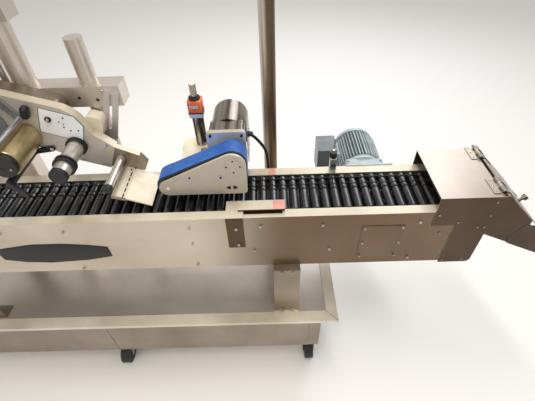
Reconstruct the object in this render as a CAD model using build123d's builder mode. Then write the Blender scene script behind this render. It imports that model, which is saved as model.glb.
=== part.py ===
from build123d import *
import math
import os

# Wrap-round labelling machine for small bottles that lie across a roller chain conveyor.
# Millimetres, +Z up, +X the way the bottles travel, +Y to the rear.
# Origin: on the floor, under the middle of the whole machine.

os.makedirs("parts", exist_ok=True)

# General stock
sheet = 2.0
thin_sheet = 1.5
running_gap = 0.3
shaft_fit = 0.05

# Cabinet and table
table_right_x = 453.0
table_length = 1428.0
table_depth = 600.0
table_top_z = 346.0
table_edge = 12.0
rim_width = 33.0
rim_step = 4.0
table_overhang = 40.0
cabinet_bottom_z = 110.0
corner_post = 34.0
panel_seam = 2.0

# Casters
caster_inset_x = 28.0
caster_inset_y = 50.0
caster_trail = 25.0
wheel_dia = 75.0
wheel_width = 28.0
wheel_axle_dia = 10.0
fork_plate = 3.0
fork_side_gap = 1.5
fork_top_width = 44.0
mount_plate_side = 62.0
mount_plate_thick = 4.0
kingpin_dia = 12.0
swivel_race = 5.0

# Roller chain
roller_pitch = 25.4
roller_dia = 22.0
roller_length = 110.0
roller_inset = 29.0
roller_top_z = 722.0
carrying_side_count = 12
hidden_side_count = 8
strand_pitches = 54
link_thick = 3.0
link_height = 14.0
link_end_gap = 0.4
wrap_link_length = 20.0
link_roller_gap = 0.5

# Chain wheels
head_x = 706.0
wheel_seats = 14
seat_gap = 1.3
seat_depth = 3.4
star_thick = 8.0
star_inset = 35.0
hub_dia = 44.0
hub_step = 6.0
shaft_dia = 20.0
drive_pitches_from_head = 7

# Conveyor housing
housing_width = 177.0
rail_top_z = 723.0
housing_bottom_z = 541.0
front_rail_width = 25.0
rear_rail_width = 27.0
bottom_flange = 20.0
side_right_x = 735.0
end_clearance = 7.0
track_strip_width = 12.0
track_strip_height = 10.0
track_inset = 11.0
pan_drop = 1.0
pan_gap = 40.0
cross_bar_width = 20.0
cross_bar_height = 10.0
cross_bar_xs = (-560.0, -300.0, -40.0, 220.0, 440.0, 622.0)
bearing_dia = 46.0
bearing_width = 13.0

# Conveyor legs
leg_right_x = 270.0
leg_left_x = -600.0
leg_width = 70.0
leg_stand_off = 21.0
leg_sheet = 3.0
leg_foot = 40.0
leg_to_rim = 6.0

# Outfeed hood, lid and chute
hood_left_x = 644.0
hood_top_z = 767.0
hood_top_right_x = 784.0
hood_box_right_x = 782.0
hood_box_bottom_z = 535.0
hood_corner_radius = 12.0
hood_shoulder_x = 795.0
lid_slope = 44.0
nose_floor_slope = 25.5
nose_floor_start_z = 643.0
hood_nose_end_x = 880.0
hood_seam_x = 701.0
hood_step_z = 679.0
lid_length = 146.0
hinge_leaf_width = 22.0
hinge_length = 50.0
hinge_pin_dia = 4.0
hinge_knuckle_dia = 8.0
hinge_front_inset = 34.0
hinge_rear_inset = 19.0
chute_wall = 63.0
chute_lap_height = 21.0
chute_cut_run = 25.0
chute_edge_run = 45.0
chute_overlap_x = 850.0
chute_tip_x = 975.0
lid_knob_dia = 16.0
lid_knob_height = 20.0
lid_knob_along = 126.0
lid_knob_inset = 72.0

# Chain drive motor and gearbox
motor_dia = 124.0
motor_core_dia = 108.0
motor_fins = 22
fin_thick = 3.0
gearbox_depth = 46.0
motor_length = 145.0
shield_dia = 116.0
shield_thick = 12.0
gearbox_side = 104.0
gear_plate_side = 126.0
gear_plate_thick = 4.0
gear_plate_top_z = 725.0
terminal_box_x = 408.0
terminal_box_width = 56.0
terminal_box_depth = 76.0
terminal_box_setback = 47.0
terminal_box_drop = 38.0
terminal_box_height = 86.0
terminal_neck_inset = 8.0
terminal_neck_cut = 15.0
terminal_neck_lap = 12.0

# Press belt unit
press_setback = 59.0
press_front_plate = 6.0
press_back_plate = 12.0
belt_width = 48.0
belt_thick = 4.0
belt_side_gap = 1.0
press_drive_x = 184.0
press_drive_z = 827.0
press_drive_belt_r = 34.0
press_nose_x = 30.0
press_right_x = 188.0
press_low_z = 767.0
press_low_belt_r = 27.0
press_plate_nose_r = 20.5
press_plate_top_r = 32.0
press_back_top_r = 18.0
press_plate_right_x = 215.0
press_plate_bottom_z = 746.5
press_corner_r = 9.0
press_spacer_dia = 12.0
press_spacers = ((86.0, 800.0), (156.0, 799.0), (78.0, 768.0), (128.0, 768.0))
press_axle_dia = 10.0
gearmotor_flange = 90.0
gearmotor_flange_thick = 12.0
gearmotor_box = 82.0
gearmotor_box_length = 45.0
gearmotor_offset = 14.0
motor_hood_width = 90.0
motor_hood_length = 95.0
motor_hood_bottom_z = 740.0
motor_can_dia = 72.0
motor_can_length = 84.0

# Height column of the press belt unit
column_x = 98.0
column_setback = 25.0
column_dia = 28.0
column_top_z = 876.0
column_bottom_z = 640.0
column_block_width = 40.0
column_block_depth = 50.0
column_block_height = 80.0
column_cap_side = 33.0
column_cap_height = 10.0
slide_block_left_x = 51.0
slide_block_right_x = 118.0
slide_block_depth = 44.0
slide_block_z = 760.0
slide_block_height = 34.0
slide_tongue_width = 44.0
indicator_depth = 30.0
indicator_height = 32.0
indicator_seat = 2.0
indicator_seat_inset = 1.0
indicator_slope_drop = 8.0
indicator_slope_run = 4.0
indicator_collar_dia = 26.6
indicator_collar_height = 6.5
spindle_dia = 10.0
spindle_knob_dia = 16.0
spindle_knob_height = 30.0
spindle_reach = 60.0
spindle_stub = 1.0

# Bottle stop on the front rail
stop_x = 162.0
stop_width = 41.0
stop_sheet = 4.0
stop_leg_drop = 101.0
stop_depth = 53.0
stop_bar_length = 110.0
stop_bar_lap = 12.0
stop_bar_setback = 17.0
stop_bar_depth = 31.0
stop_bar_thick = 5.0

# Operator pole and box
pole_x = 271.0
pole_setback = 118.0
pole_dia = 38.0
pole_top_z = 1290.0
pole_foot_dia = 100.0
pole_foot_thick = 10.0
operator_width = 280.0
operator_depth = 90.0
operator_height = 220.0
operator_tilt = 12.0
screen_width = 180.0
screen_height = 140.0
screen_offset = 35.0
screen_centre = 118.0
estop_offset = 98.0
estop_dia = 38.0
estop_head = 14.0
estop_stand = 12.0
estop_stem_dia = 22.0
estop_stem_in = 14.0
estop_depth = 22.0
spigot_length = 40.0

# Label head frame: u runs down to the right along the head, v square to it
head_tilt = 18.0
head_corner_x = -130.0
head_corner_z = 764.0
head_front_inset = 27.0
head_plate_depth = 23.0
head_housing_depth = 34.0
head_plate_wall = 3.0
head_top_v = 141.0
head_left_u = -330.0
head_mid_u = -127.0
head_mid_v = 18.0
head_shoulder_u = -72.0
head_shoulder_v = 3.0
head_neck_u = -20.0
head_neck_v = 80.0
head_right_v = 66.0
head_edge_lean = 0.106
head_arc_start_u = -112.0
head_arc_mid_u = -82.0
head_arc_mid_v = 130.0
head_arc_end_u = -61.0
head_arc_end_v = 111.0
head_slope_u = -42.0
head_slope_v = 88.0
housing_right_u = -112.0
housing_corner_r = 22.0
housing_bottom_v = 40.0
head_motor_side = 56.0
head_motor_length = 36.0
head_motor_u = -62.0
head_motor_v = 34.0
button_dia = 14.0
button_u = -137.0
button_v = 106.0
button_height = 8.0
button_stem_dia = 6.0

# Rollers of the label head
drum_u = -187.0
drum_v = 47.0
drum_dia = 66.0
drum_cap_dia = 58.0
drum_cap_thick = 12.0
ringed_u = -78.0
ringed_v = 49.0
ringed_dia = 39.0
ringed_collar_dia = 48.0
ringed_collar_thick = 9.0
ring_dia = 50.0
ring_thick = 5.0
ringed_ring_reach = 70.0
ringed_ring_step = 10.0
plain_u = 23.5
plain_v = 38.0
plain_dia = 19.5
roller_reach = 120.0
head_axle_dia = 10.0
end_cap_length = 12.0
nip_pivot_u = -134.0
nip_pivot_v = 25.0
nip_u = -178.0
nip_v = 4.0
nip_handle_u = -148.0
nip_handle_v = -19.0
nip_arm_width = 12.0
nip_roller_dia = 18.0
pivot_dia = 8.0
pivot_reach = 7.0
axle_reach = 108.0
dancer_u = -232.0
dancer_v = 126.0
dancer_rod_u = -196.0
dancer_rod_v = 93.0
dancer_arm_width = 16.0
dancer_arm_thick = 6.0
dancer_rod_dia = 12.0

# Peel end of the label head
peel_arm_root_v = 5.0
peel_arm_shoulder_u = 65.0
peel_arm_shoulder_v = 57.0
peel_arm_tip_u = 86.0
peel_arm_tip_low_v = 14.0
peel_arm_tip_high_v = 38.0
peel_arm_depth = 16.0
peel_tip_u = 122.0
peel_tip_v = 5.5
peel_plate_start_u = 61.0
peel_block_start_u = 29.0
peel_block_thick = 9.0
peel_block_v = 5.0
peel_plate_thick = 2.0
peel_reach = 109.0
hanger_left_u = -34.0
hanger_width = 34.5
hanger_low_v = 50.0
hanger_high_v = 184.0
hanger_sheet = 4.0
hanger_slot_low_v = 78.0
hanger_slot_high_v = 174.0
hanger_slot_width = 6.5
boss_left_u = -69.0
boss_right_u = -26.0
boss_low_v = 64.0
boss_high_v = 120.0
boss_corner_r = 14.0

# Stand of the label head
arm_side = 50.0
arm_wall = 3.0
stand_column_x = -395.0
stand_column_side = 50.0
arm_right_x = -71.0
arm_left_x = -470.0
arm_bottom_z = 903.0
upper_arm_side = 38.0
upper_arm_bottom_z = 1097.0
upper_arm_right_x = -249.0
upper_arm_left_x = -560.0
rod_x = -145.0
rod_dia = 40.0
rod_top_z = 1055.0
left_post_x = -291.0
left_post_dia = 50.0
screw_rod_x = -334.0
screw_rod_dia = 16.0
post_foot_dia = 96.0
post_foot_thick = 14.0

# Label reels
reel_axle_dia = 16.0
reel_near_reach = 197.0
reel_far_reach = 80.0
reel_axle_inset = 10.0
reel_flange_thick = 3.0
unwind_x = -470.0
unwind_flange_dia = 240.0
unwind_core_dia = 76.0
rewind_u = -300.0
rewind_v = 42.0
rewind_flange_dia = 150.0
rewind_core_dia = 50.0

# Lead of the press motor
lead_dia = 8.0
lead_setback = 55.0
lead_start_z = 796.0
lead_first_run = 24.0
lead_short_drop = 45.0
lead_middle_drop = 80.0
lead_sway = 5.0

# Places worked out from the sizes above
table_centre_x = table_right_x - table_length / 2
cabinet_length = table_length - 2 * table_overhang
cabinet_depth = table_depth - 2 * table_overhang
cabinet_top_z = table_top_z - table_edge
cabinet_front_y = -cabinet_depth / 2
tray_z = table_top_z - rim_step
caster_offset_x = cabinet_length / 2 - caster_inset_x
caster_pivot_y = cabinet_depth / 2 - caster_inset_y
caster_xs = (
    table_centre_x - caster_offset_x,
    table_centre_x,
    table_centre_x + caster_offset_x,
)
wheel_centre_z = wheel_dia / 2
fork_width = wheel_width + 2 * (fork_side_gap + fork_plate)
housing_front_y = -table_depth / 2 + rim_width + leg_to_rim + leg_stand_off
housing_rear_y = housing_front_y + housing_width
roller_front_y = housing_front_y + roller_inset
roller_rear_y = roller_front_y + roller_length
track_front_y = roller_front_y + track_inset
track_rear_y = roller_rear_y - track_inset - track_strip_width
star_centre_front_y = roller_front_y + star_inset
star_centre_rear_y = roller_rear_y - star_inset
roller_z = roller_top_z - roller_dia / 2
pitch_r = roller_pitch / (2 * math.sin(math.pi / wheel_seats))
shaft_z = roller_z - pitch_r
return_z = shaft_z - pitch_r
tail_x = head_x - strand_pitches * roller_pitch
drive_x = head_x - drive_pitches_from_head * roller_pitch
seat_r = roller_dia / 2 + seat_gap
seat_angle = 360 / wheel_seats
star_tip_r = pitch_r - seat_r + seat_depth
housing_left_x = tail_x - pitch_r - roller_dia / 2 - end_clearance - sheet
housing_length = side_right_x - housing_left_x
rail_bottom_z = rail_top_z - sheet
housing_mid_y = (housing_front_y + housing_rear_y) / 2
hinge_front_y = housing_front_y + hinge_front_inset
hinge_rear_y = housing_rear_y - hinge_rear_inset
lid_knob_y = housing_front_y + lid_knob_inset
motor_start_y = housing_rear_y + gear_plate_thick + gearbox_depth
terminal_box_start_y = motor_start_y + terminal_box_setback
terminal_box_z = shaft_z - terminal_box_drop
column_y = housing_rear_y + column_setback
pole_y = housing_rear_y + pole_setback
stop_leg_bottom_z = rail_top_z - stop_leg_drop
stop_inner_y = housing_front_y + stop_depth
stop_bar_front_y = housing_front_y + stop_bar_setback
hinge_x = hood_top_right_x + sheet
hinge_z = hood_top_z + hinge_knuckle_dia / 2 + 2 * running_gap
press_front_y = housing_front_y + press_setback
belt_front_y = press_front_y + press_front_plate + belt_side_gap
belt_rear_y = belt_front_y + belt_width
press_back_y = belt_rear_y + belt_side_gap
gearmotor_y = press_back_y + press_back_plate
gearmotor_x = press_drive_x - gearmotor_offset
gearbox_rear_y = gearmotor_y + gearmotor_flange_thick + gearmotor_box_length
head_front_y = housing_rear_y - head_front_inset
head_rear_y = head_front_y + head_plate_depth
roller_near_y = head_front_y - roller_reach
peel_front_y = head_front_y - peel_reach
housing_back_y = head_rear_y + head_housing_depth
arm_mid_y = housing_back_y + arm_side / 2
reel_near_y = arm_mid_y - reel_near_reach
reel_far_y = arm_mid_y - reel_far_reach
lead_y = housing_rear_y + lead_setback


def at_y(y):
    """Upright plane across the machine at this y: its x is X, its y is Z, and it faces the front."""
    return Plane.XZ.offset(-y)


def on_head(u, v):
    """X and Z of a point given along the tilted label head."""
    turn = math.radians(head_tilt)
    return (
        head_corner_x + u * math.cos(turn) + v * math.sin(turn),
        head_corner_z - u * math.sin(turn) + v * math.cos(turn),
    )


def head_plane(y):
    """Plane at this y with its x along u and its y along v of the label head."""
    turned = Plane.XZ.rotated((0, head_tilt, 0))
    return Plane(origin=(head_corner_x, y, head_corner_z), x_dir=turned.x_dir, z_dir=(0, -1, 0))


def nose_floor_z(x):
    """Height of the sloping floor of the outfeed nose."""
    return nose_floor_start_z - (x - hood_box_right_x) * math.tan(math.radians(nose_floor_slope))


def lid_line_z(x):
    """Height of the sloping edge that the lid rests on."""
    return hood_top_z - (x - hood_shoulder_x) * math.tan(math.radians(lid_slope))


# Cabinet: open-fronted sheet box with corner posts and a middle post
window_height = cabinet_top_z - cabinet_bottom_z - 2 * corner_post
with BuildPart() as cabinet_shell:
    with BuildSketch(Plane.XY.offset(cabinet_bottom_z)):
        with Locations((table_centre_x, 0)):
            Rectangle(cabinet_length, cabinet_depth)
    extrude(amount=cabinet_top_z - cabinet_bottom_z)
    offset(amount=-thin_sheet, openings=cabinet_shell.faces().sort_by(Axis.Y)[0])
    with BuildSketch(at_y(cabinet_front_y + sheet)):
        with Locations((table_centre_x, (cabinet_top_z + cabinet_bottom_z) / 2)):
            Rectangle(cabinet_length, cabinet_top_z - cabinet_bottom_z)
            with GridLocations(cabinet_length / 2 - corner_post / 2, 1, 2, 1):
                Rectangle(cabinet_length / 2 - 1.5 * corner_post, window_height, mode=Mode.SUBTRACT)
    extrude(amount=sheet)
cabinet_shell.part.label = "cabinet_shell"
export_step(cabinet_shell.part, "parts/cabinet_shell.step")

# Cabinet panels: two lift-off front panels with a narrow seam between them
panel_length = cabinet_length / 2 - corner_post
with BuildPart() as cabinet_panels:
    with BuildSketch(at_y(cabinet_front_y)):
        with Locations((table_centre_x, (cabinet_top_z + cabinet_bottom_z) / 2)):
            with GridLocations(panel_length, 1, 2, 1):
                Rectangle(panel_length - panel_seam, cabinet_top_z - cabinet_bottom_z - panel_seam)
    extrude(amount=thin_sheet)
cabinet_panels.part.label = "cabinet_panels"
export_step(cabinet_panels.part, "parts/cabinet_panels.step")

# Table: shallow tray with a raised flat rim and a folded edge
with BuildPart() as table_top:
    with BuildSketch(Plane.XY.offset(cabinet_top_z)):
        with Locations((table_centre_x, 0)):
            Rectangle(table_length, table_depth)
    extrude(amount=table_edge)
    with BuildSketch(Plane.XY.offset(table_top_z)):
        with Locations((table_centre_x, 0)):
            Rectangle(table_length - 2 * rim_width, table_depth - 2 * rim_width)
    extrude(amount=-rim_step, mode=Mode.SUBTRACT)
    with BuildSketch(Plane.XY.offset(cabinet_top_z)):
        with Locations((table_centre_x, 0)):
            Rectangle(table_length - 2 * sheet, table_depth - 2 * sheet)
            Rectangle(cabinet_length, cabinet_depth, mode=Mode.SUBTRACT)
    extrude(amount=table_edge - rim_step - sheet, mode=Mode.SUBTRACT)
table_top.part.label = "table_top"
export_step(table_top.part, "parts/table_top.step")

# Casters: mounting plates, the middle pair with rigid forks
def fork_outline(rear, top_z):
    """Side view of one fork leg: wide at the top, narrow at the axle, trailing away from the middle."""
    side = 1 if rear else -1
    pivot = side * caster_pivot_y
    axle = pivot + side * caster_trail
    with BuildSketch(mode=Mode.PRIVATE) as outline:
        with BuildLine():
            Polyline(
                (pivot - fork_top_width / 2, top_z),
                (pivot + fork_top_width / 2, top_z),
                (axle + wheel_axle_dia, wheel_centre_z - wheel_axle_dia),
                (axle - wheel_axle_dia, wheel_centre_z - wheel_axle_dia),
                close=True,
            )
        make_face()
    return outline.sketch


def fork(x, rear, top_z):
    """Two fork legs, the crown over the wheel and the wheel axle."""
    side = 1 if rear else -1
    pivot = side * caster_pivot_y
    axle_y = pivot + side * caster_trail
    with BuildPart() as piece:
        for start in (x - fork_width / 2, x + fork_width / 2 - fork_plate):
            with BuildSketch(Plane.YZ.offset(start)):
                add(fork_outline(rear, top_z))
            extrude(amount=fork_plate)
        with BuildSketch(Plane.XY.offset(top_z)):
            with Locations((x, pivot)):
                Rectangle(fork_width, fork_top_width)
        extrude(amount=fork_plate)
        with BuildSketch(Plane.YZ.offset(x - fork_width / 2)):
            with Locations((axle_y, wheel_centre_z)):
                Circle(wheel_axle_dia / 2)
        extrude(amount=fork_width)
    return piece.part


mount_plate_z = cabinet_bottom_z - mount_plate_thick
crown_z = mount_plate_z - running_gap - swivel_race - fork_plate
with BuildPart() as caster_plates:
    with BuildSketch(Plane.XY.offset(mount_plate_z)):
        with Locations((table_centre_x, 0)):
            with GridLocations(caster_offset_x, 2 * caster_pivot_y, 3, 2):
                RectangleRounded(mount_plate_side, mount_plate_side, 6)
            with GridLocations(2 * caster_offset_x, 2 * caster_pivot_y, 2, 2):
                Circle(kingpin_dia / 2, mode=Mode.SUBTRACT)
    extrude(amount=mount_plate_thick)
    add(fork(table_centre_x, False, mount_plate_z - fork_plate))
    add(fork(table_centre_x, True, mount_plate_z - fork_plate))
caster_plates.part.label = "caster_plates"
export_step(caster_plates.part, "parts/caster_plates.step")

swivel_places = (
    ("front_left", caster_xs[0], False),
    ("front_right", caster_xs[2], False),
    ("rear_left", caster_xs[0], True),
    ("rear_right", caster_xs[2], True),
)
for place, x, rear in swivel_places:
    pivot_y = caster_pivot_y if rear else -caster_pivot_y
    with BuildPart() as caster_fork:
        add(fork(x, rear, crown_z))
        with BuildSketch(Plane.XY.offset(crown_z + fork_plate)):
            with Locations((x, pivot_y)):
                Circle(fork_width / 2)
        extrude(amount=swivel_race)
        with BuildSketch(Plane.XY.offset(crown_z + fork_plate + swivel_race)):
            with Locations((x, pivot_y)):
                Circle(kingpin_dia / 2 - shaft_fit)
        extrude(amount=mount_plate_thick)
    caster_fork.part.label = f"caster_fork_{place}"
    export_step(caster_fork.part, f"parts/caster_fork_{place}.step")

wheel_places = swivel_places + (
    ("front_middle", caster_xs[1], False),
    ("rear_middle", caster_xs[1], True),
)
for place, x, rear in wheel_places:
    side = 1 if rear else -1
    with BuildPart() as caster_wheel:
        with BuildSketch(Plane.YZ.offset(x - wheel_width / 2)):
            with Locations((side * (caster_pivot_y + caster_trail), wheel_centre_z)):
                Circle(wheel_dia / 2)
                Circle(wheel_axle_dia / 2 + shaft_fit, mode=Mode.SUBTRACT)
        extrude(amount=wheel_width)
    caster_wheel.part.label = f"caster_wheel_{place}"
    export_step(caster_wheel.part, f"parts/caster_wheel_{place}.step")

# Conveyor sides: folded sheet with a flat rail on top and a return flange below
with BuildPart() as conveyor_front_side:
    with BuildSketch(Plane.YZ.offset(housing_left_x)):
        with BuildLine():
            Polyline(
                (housing_front_y + bottom_flange, housing_bottom_z),
                (housing_front_y, housing_bottom_z),
                (housing_front_y, rail_top_z),
                (housing_front_y + front_rail_width, rail_top_z),
                (housing_front_y + front_rail_width, rail_bottom_z),
                (housing_front_y + sheet, rail_bottom_z),
                (housing_front_y + sheet, housing_bottom_z + sheet),
                (housing_front_y + bottom_flange, housing_bottom_z + sheet),
                close=True,
            )
        make_face()
    extrude(amount=housing_length)
conveyor_front_side.part.label = "conveyor_front_side"
export_step(conveyor_front_side.part, "parts/conveyor_front_side.step")

# The rear side turns round the infeed end and closes it
with BuildPart() as conveyor_rear_side:
    with BuildSketch(Plane.YZ.offset(housing_left_x)):
        with BuildLine():
            Polyline(
                (housing_rear_y - bottom_flange, housing_bottom_z),
                (housing_rear_y, housing_bottom_z),
                (housing_rear_y, rail_top_z),
                (housing_rear_y - rear_rail_width, rail_top_z),
                (housing_rear_y - rear_rail_width, rail_bottom_z),
                (housing_rear_y - sheet, rail_bottom_z),
                (housing_rear_y - sheet, housing_bottom_z + sheet),
                (housing_rear_y - bottom_flange, housing_bottom_z + sheet),
                close=True,
            )
        make_face()
    extrude(amount=housing_length)
    with BuildSketch(Plane.YZ.offset(housing_left_x)):
        with BuildLine():
            Polyline(
                (housing_front_y + bottom_flange, housing_bottom_z),
                (housing_rear_y, housing_bottom_z),
                (housing_rear_y, rail_top_z),
                (housing_front_y + front_rail_width, rail_top_z),
                (housing_front_y + front_rail_width, rail_bottom_z),
                (housing_front_y + sheet, rail_bottom_z),
                (housing_front_y + sheet, housing_bottom_z + sheet),
                (housing_front_y + bottom_flange, housing_bottom_z + sheet),
                close=True,
            )
        make_face()
    extrude(amount=sheet)
    with BuildSketch(at_y(housing_rear_y)):
        with Locations((drive_x, shaft_z)):
            Circle(shaft_dia / 2 + sheet)
    extrude(amount=sheet, mode=Mode.SUBTRACT)
conveyor_rear_side.part.label = "conveyor_rear_side"
export_step(conveyor_rear_side.part, "parts/conveyor_rear_side.step")

# Roller track: strips under both strands on cross bars, with a pan below the carrying rollers
with BuildPart() as roller_track:
    for strand_z in (roller_z, return_z):
        strip_top_z = strand_z - roller_dia / 2 - running_gap
        bar_top_z = strip_top_z - track_strip_height
        for y in (track_front_y, track_rear_y):
            with BuildSketch(Plane.XY.offset(bar_top_z)):
                with Locations(((head_x + tail_x) / 2, y + track_strip_width / 2)):
                    Rectangle(head_x - tail_x - 2 * sheet, track_strip_width)
            extrude(amount=track_strip_height)
        for x in cross_bar_xs:
            with BuildSketch(Plane.XY.offset(bar_top_z)):
                with Locations((x, housing_mid_y)):
                    Rectangle(cross_bar_width, housing_rear_y - housing_front_y - 2 * sheet)
            extrude(amount=-cross_bar_height)
    pan_top_z = roller_z - roller_dia / 2 - running_gap - pan_drop
    pan_mid_y = (roller_front_y + roller_rear_y) / 2
    for start, end in ((tail_x + pan_gap, drive_x - pan_gap), (drive_x + pan_gap, head_x - pan_gap)):
        with BuildSketch(Plane.XY.offset(pan_top_z)):
            with Locations(((start + end) / 2, pan_mid_y)):
                Rectangle(end - start, roller_length)
        extrude(amount=-sheet)
roller_track.part.label = "roller_track"
export_step(roller_track.part, "parts/roller_track.step")

# Legs between the table and the conveyor: folded sheet channels
def leg_profile(front):
    """Side view of one leg: upright web with a flange under the conveyor and one on the tray."""
    side = -1 if front else 1
    edge = housing_front_y - leg_stand_off if front else housing_rear_y + leg_stand_off
    inner = edge - side * leg_sheet
    far = edge - side * leg_foot
    with BuildSketch(mode=Mode.PRIVATE) as outline:
        with BuildLine():
            Polyline(
                (far, housing_bottom_z),
                (edge, housing_bottom_z),
                (edge, tray_z),
                (far, tray_z),
                (far, tray_z + leg_sheet),
                (inner, tray_z + leg_sheet),
                (inner, housing_bottom_z - leg_sheet),
                (far, housing_bottom_z - leg_sheet),
                close=True,
            )
        make_face()
    return outline.sketch


with BuildPart() as conveyor_legs:
    for leg_x in (leg_left_x, leg_right_x):
        for front in (True, False):
            with BuildSketch(Plane.YZ.offset(leg_x)):
                add(leg_profile(front))
            extrude(amount=leg_width)
conveyor_legs.part.label = "conveyor_legs"
export_step(conveyor_legs.part, "parts/conveyor_legs.step")

# Shaft bearings on the inner faces of the sides
with BuildPart() as shaft_bearings:
    for inner_y in (housing_front_y + sheet + bearing_width, housing_rear_y - sheet):
        with BuildSketch(at_y(inner_y)):
            with Locations((tail_x, shaft_z), (drive_x, shaft_z), (head_x, shaft_z)):
                Circle(bearing_dia / 2)
                Circle(shaft_dia / 2 + shaft_fit, mode=Mode.SUBTRACT)
        extrude(amount=bearing_width)
shaft_bearings.part.label = "shaft_bearings"
export_step(shaft_bearings.part, "parts/shaft_bearings.step")

# Chain strands: rollers between two rows of link plates
def strand(z, side_count):
    """One straight strand from the tail wheels to the head wheels."""
    with BuildPart() as piece:
        middle_x = (head_x + tail_x) / 2
        corner_r = roller_dia / 2 / math.cos(math.pi / side_count)
        with BuildSketch(at_y(roller_rear_y)):
            with Locations((middle_x, z)):
                with GridLocations(roller_pitch, 1, strand_pitches + 1, 1):
                    RegularPolygon(corner_r, side_count, rotation=180 / side_count)
        extrude(amount=roller_length)
        for near_y in (roller_front_y - link_roller_gap, roller_rear_y + link_roller_gap + link_thick):
            with BuildSketch(at_y(near_y)):
                with Locations((middle_x, z)):
                    with GridLocations(roller_pitch, 1, strand_pitches, 1):
                        Rectangle(roller_pitch - link_end_gap, link_height)
            extrude(amount=link_thick)
    return piece.part


with BuildPart() as top_chain:
    add(strand(roller_z, carrying_side_count))
top_chain.part.label = "top_chain"
export_step(top_chain.part, "parts/top_chain.step")

with BuildPart() as return_chain:
    add(strand(return_z, hidden_side_count))
return_chain.part.label = "return_chain"
export_step(return_chain.part, "parts/return_chain.step")

# Chain wheels: a shaft with two star wheels whose seats hold the rollers
def star_outline():
    """Disc with a round seat for each roller."""
    with BuildSketch(mode=Mode.PRIVATE) as outline:
        Circle(star_tip_r)
        with PolarLocations(pitch_r, wheel_seats, start_angle=90):
            Circle(seat_r, mode=Mode.SUBTRACT)
    return outline.sketch


def wheel_shaft(x, rear_end_y, toothed):
    """Shaft, hubs and the pair of wheels at this x."""
    with BuildPart() as piece:
        front_end_y = housing_front_y + sheet + running_gap
        with BuildSketch(at_y(rear_end_y)):
            with Locations((x, shaft_z)):
                Circle(shaft_dia / 2)
        extrude(amount=rear_end_y - front_end_y)
        for centre_y in (star_centre_front_y, star_centre_rear_y):
            with BuildSketch(at_y(centre_y + star_thick / 2)):
                with Locations((x, shaft_z)):
                    if toothed:
                        add(star_outline())
                    else:
                        Circle(pitch_r - seat_r)
            extrude(amount=star_thick)
            with BuildSketch(at_y(centre_y + star_thick / 2 + hub_step)):
                with Locations((x, shaft_z)):
                    Circle(hub_dia / 2)
            extrude(amount=star_thick + 2 * hub_step)
    return piece.part


def wrapped_rollers(x, side):
    """Rollers and links that lie round the end wheels."""
    with BuildPart() as piece:
        corner_r = roller_dia / 2 / math.cos(math.pi / hidden_side_count)
        half_turns = wheel_seats // 2
        with BuildSketch(at_y(roller_rear_y)):
            for step in range(1, half_turns):
                angle = math.radians(step * seat_angle)
                with Locations((x + side * pitch_r * math.sin(angle), shaft_z + pitch_r * math.cos(angle))):
                    RegularPolygon(corner_r, hidden_side_count, rotation=180 / hidden_side_count)
        extrude(amount=roller_length)
        chord_r = pitch_r * math.cos(math.pi / wheel_seats)
        for near_y in (roller_front_y - link_roller_gap, roller_rear_y + link_roller_gap + link_thick):
            with BuildSketch(at_y(near_y)):
                for step in range(half_turns):
                    turn = (step + 0.5) * seat_angle
                    angle = math.radians(turn)
                    place = (x + side * chord_r * math.sin(angle), shaft_z + chord_r * math.cos(angle))
                    with Locations(Location((*place, 0), (0, 0, -side * turn))):
                        Rectangle(wrap_link_length, link_height)
            extrude(amount=link_thick)
    return piece.part


shaft_rear_y = housing_rear_y - sheet - running_gap
with BuildPart() as head_wheels:
    add(wheel_shaft(head_x, shaft_rear_y, True))
    add(wrapped_rollers(head_x, 1))
head_wheels.part.label = "head_wheels"
export_step(head_wheels.part, "parts/head_wheels.step")

with BuildPart() as tail_wheels:
    add(wheel_shaft(tail_x, shaft_rear_y, False))
    add(wrapped_rollers(tail_x, -1))
tail_wheels.part.label = "tail_wheels"
export_step(tail_wheels.part, "parts/tail_wheels.step")

drive_shaft_end_y = housing_rear_y + gear_plate_thick + shaft_dia
with BuildPart() as drive_wheels:
    add(wheel_shaft(drive_x, drive_shaft_end_y, True))
drive_wheels.part.label = "drive_wheels"
export_step(drive_wheels.part, "parts/drive_wheels.step")

# Bottle stop: angle bracket on the front side with a bar along the edge of the rollers
stop_bar_start_x = stop_x + stop_width - stop_bar_lap
with BuildPart() as bottle_stop:
    with BuildSketch(Plane.YZ.offset(stop_x)):
        with BuildLine():
            Polyline(
                (housing_front_y, stop_leg_bottom_z),
                (housing_front_y - stop_sheet, stop_leg_bottom_z),
                (housing_front_y - stop_sheet, rail_top_z + stop_sheet),
                (stop_inner_y, rail_top_z + stop_sheet),
                (stop_inner_y, rail_top_z),
                (housing_front_y, rail_top_z),
                close=True,
            )
        make_face()
    extrude(amount=stop_width)
    with BuildSketch(Plane.XY.offset(rail_top_z + stop_sheet)):
        with Locations((stop_bar_start_x + stop_bar_length / 2, stop_bar_front_y + stop_bar_depth / 2)):
            Rectangle(stop_bar_length, stop_bar_depth)
    extrude(amount=stop_bar_thick)
bottle_stop.part.label = "bottle_stop"
export_step(bottle_stop.part, "parts/bottle_stop.step")

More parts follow.
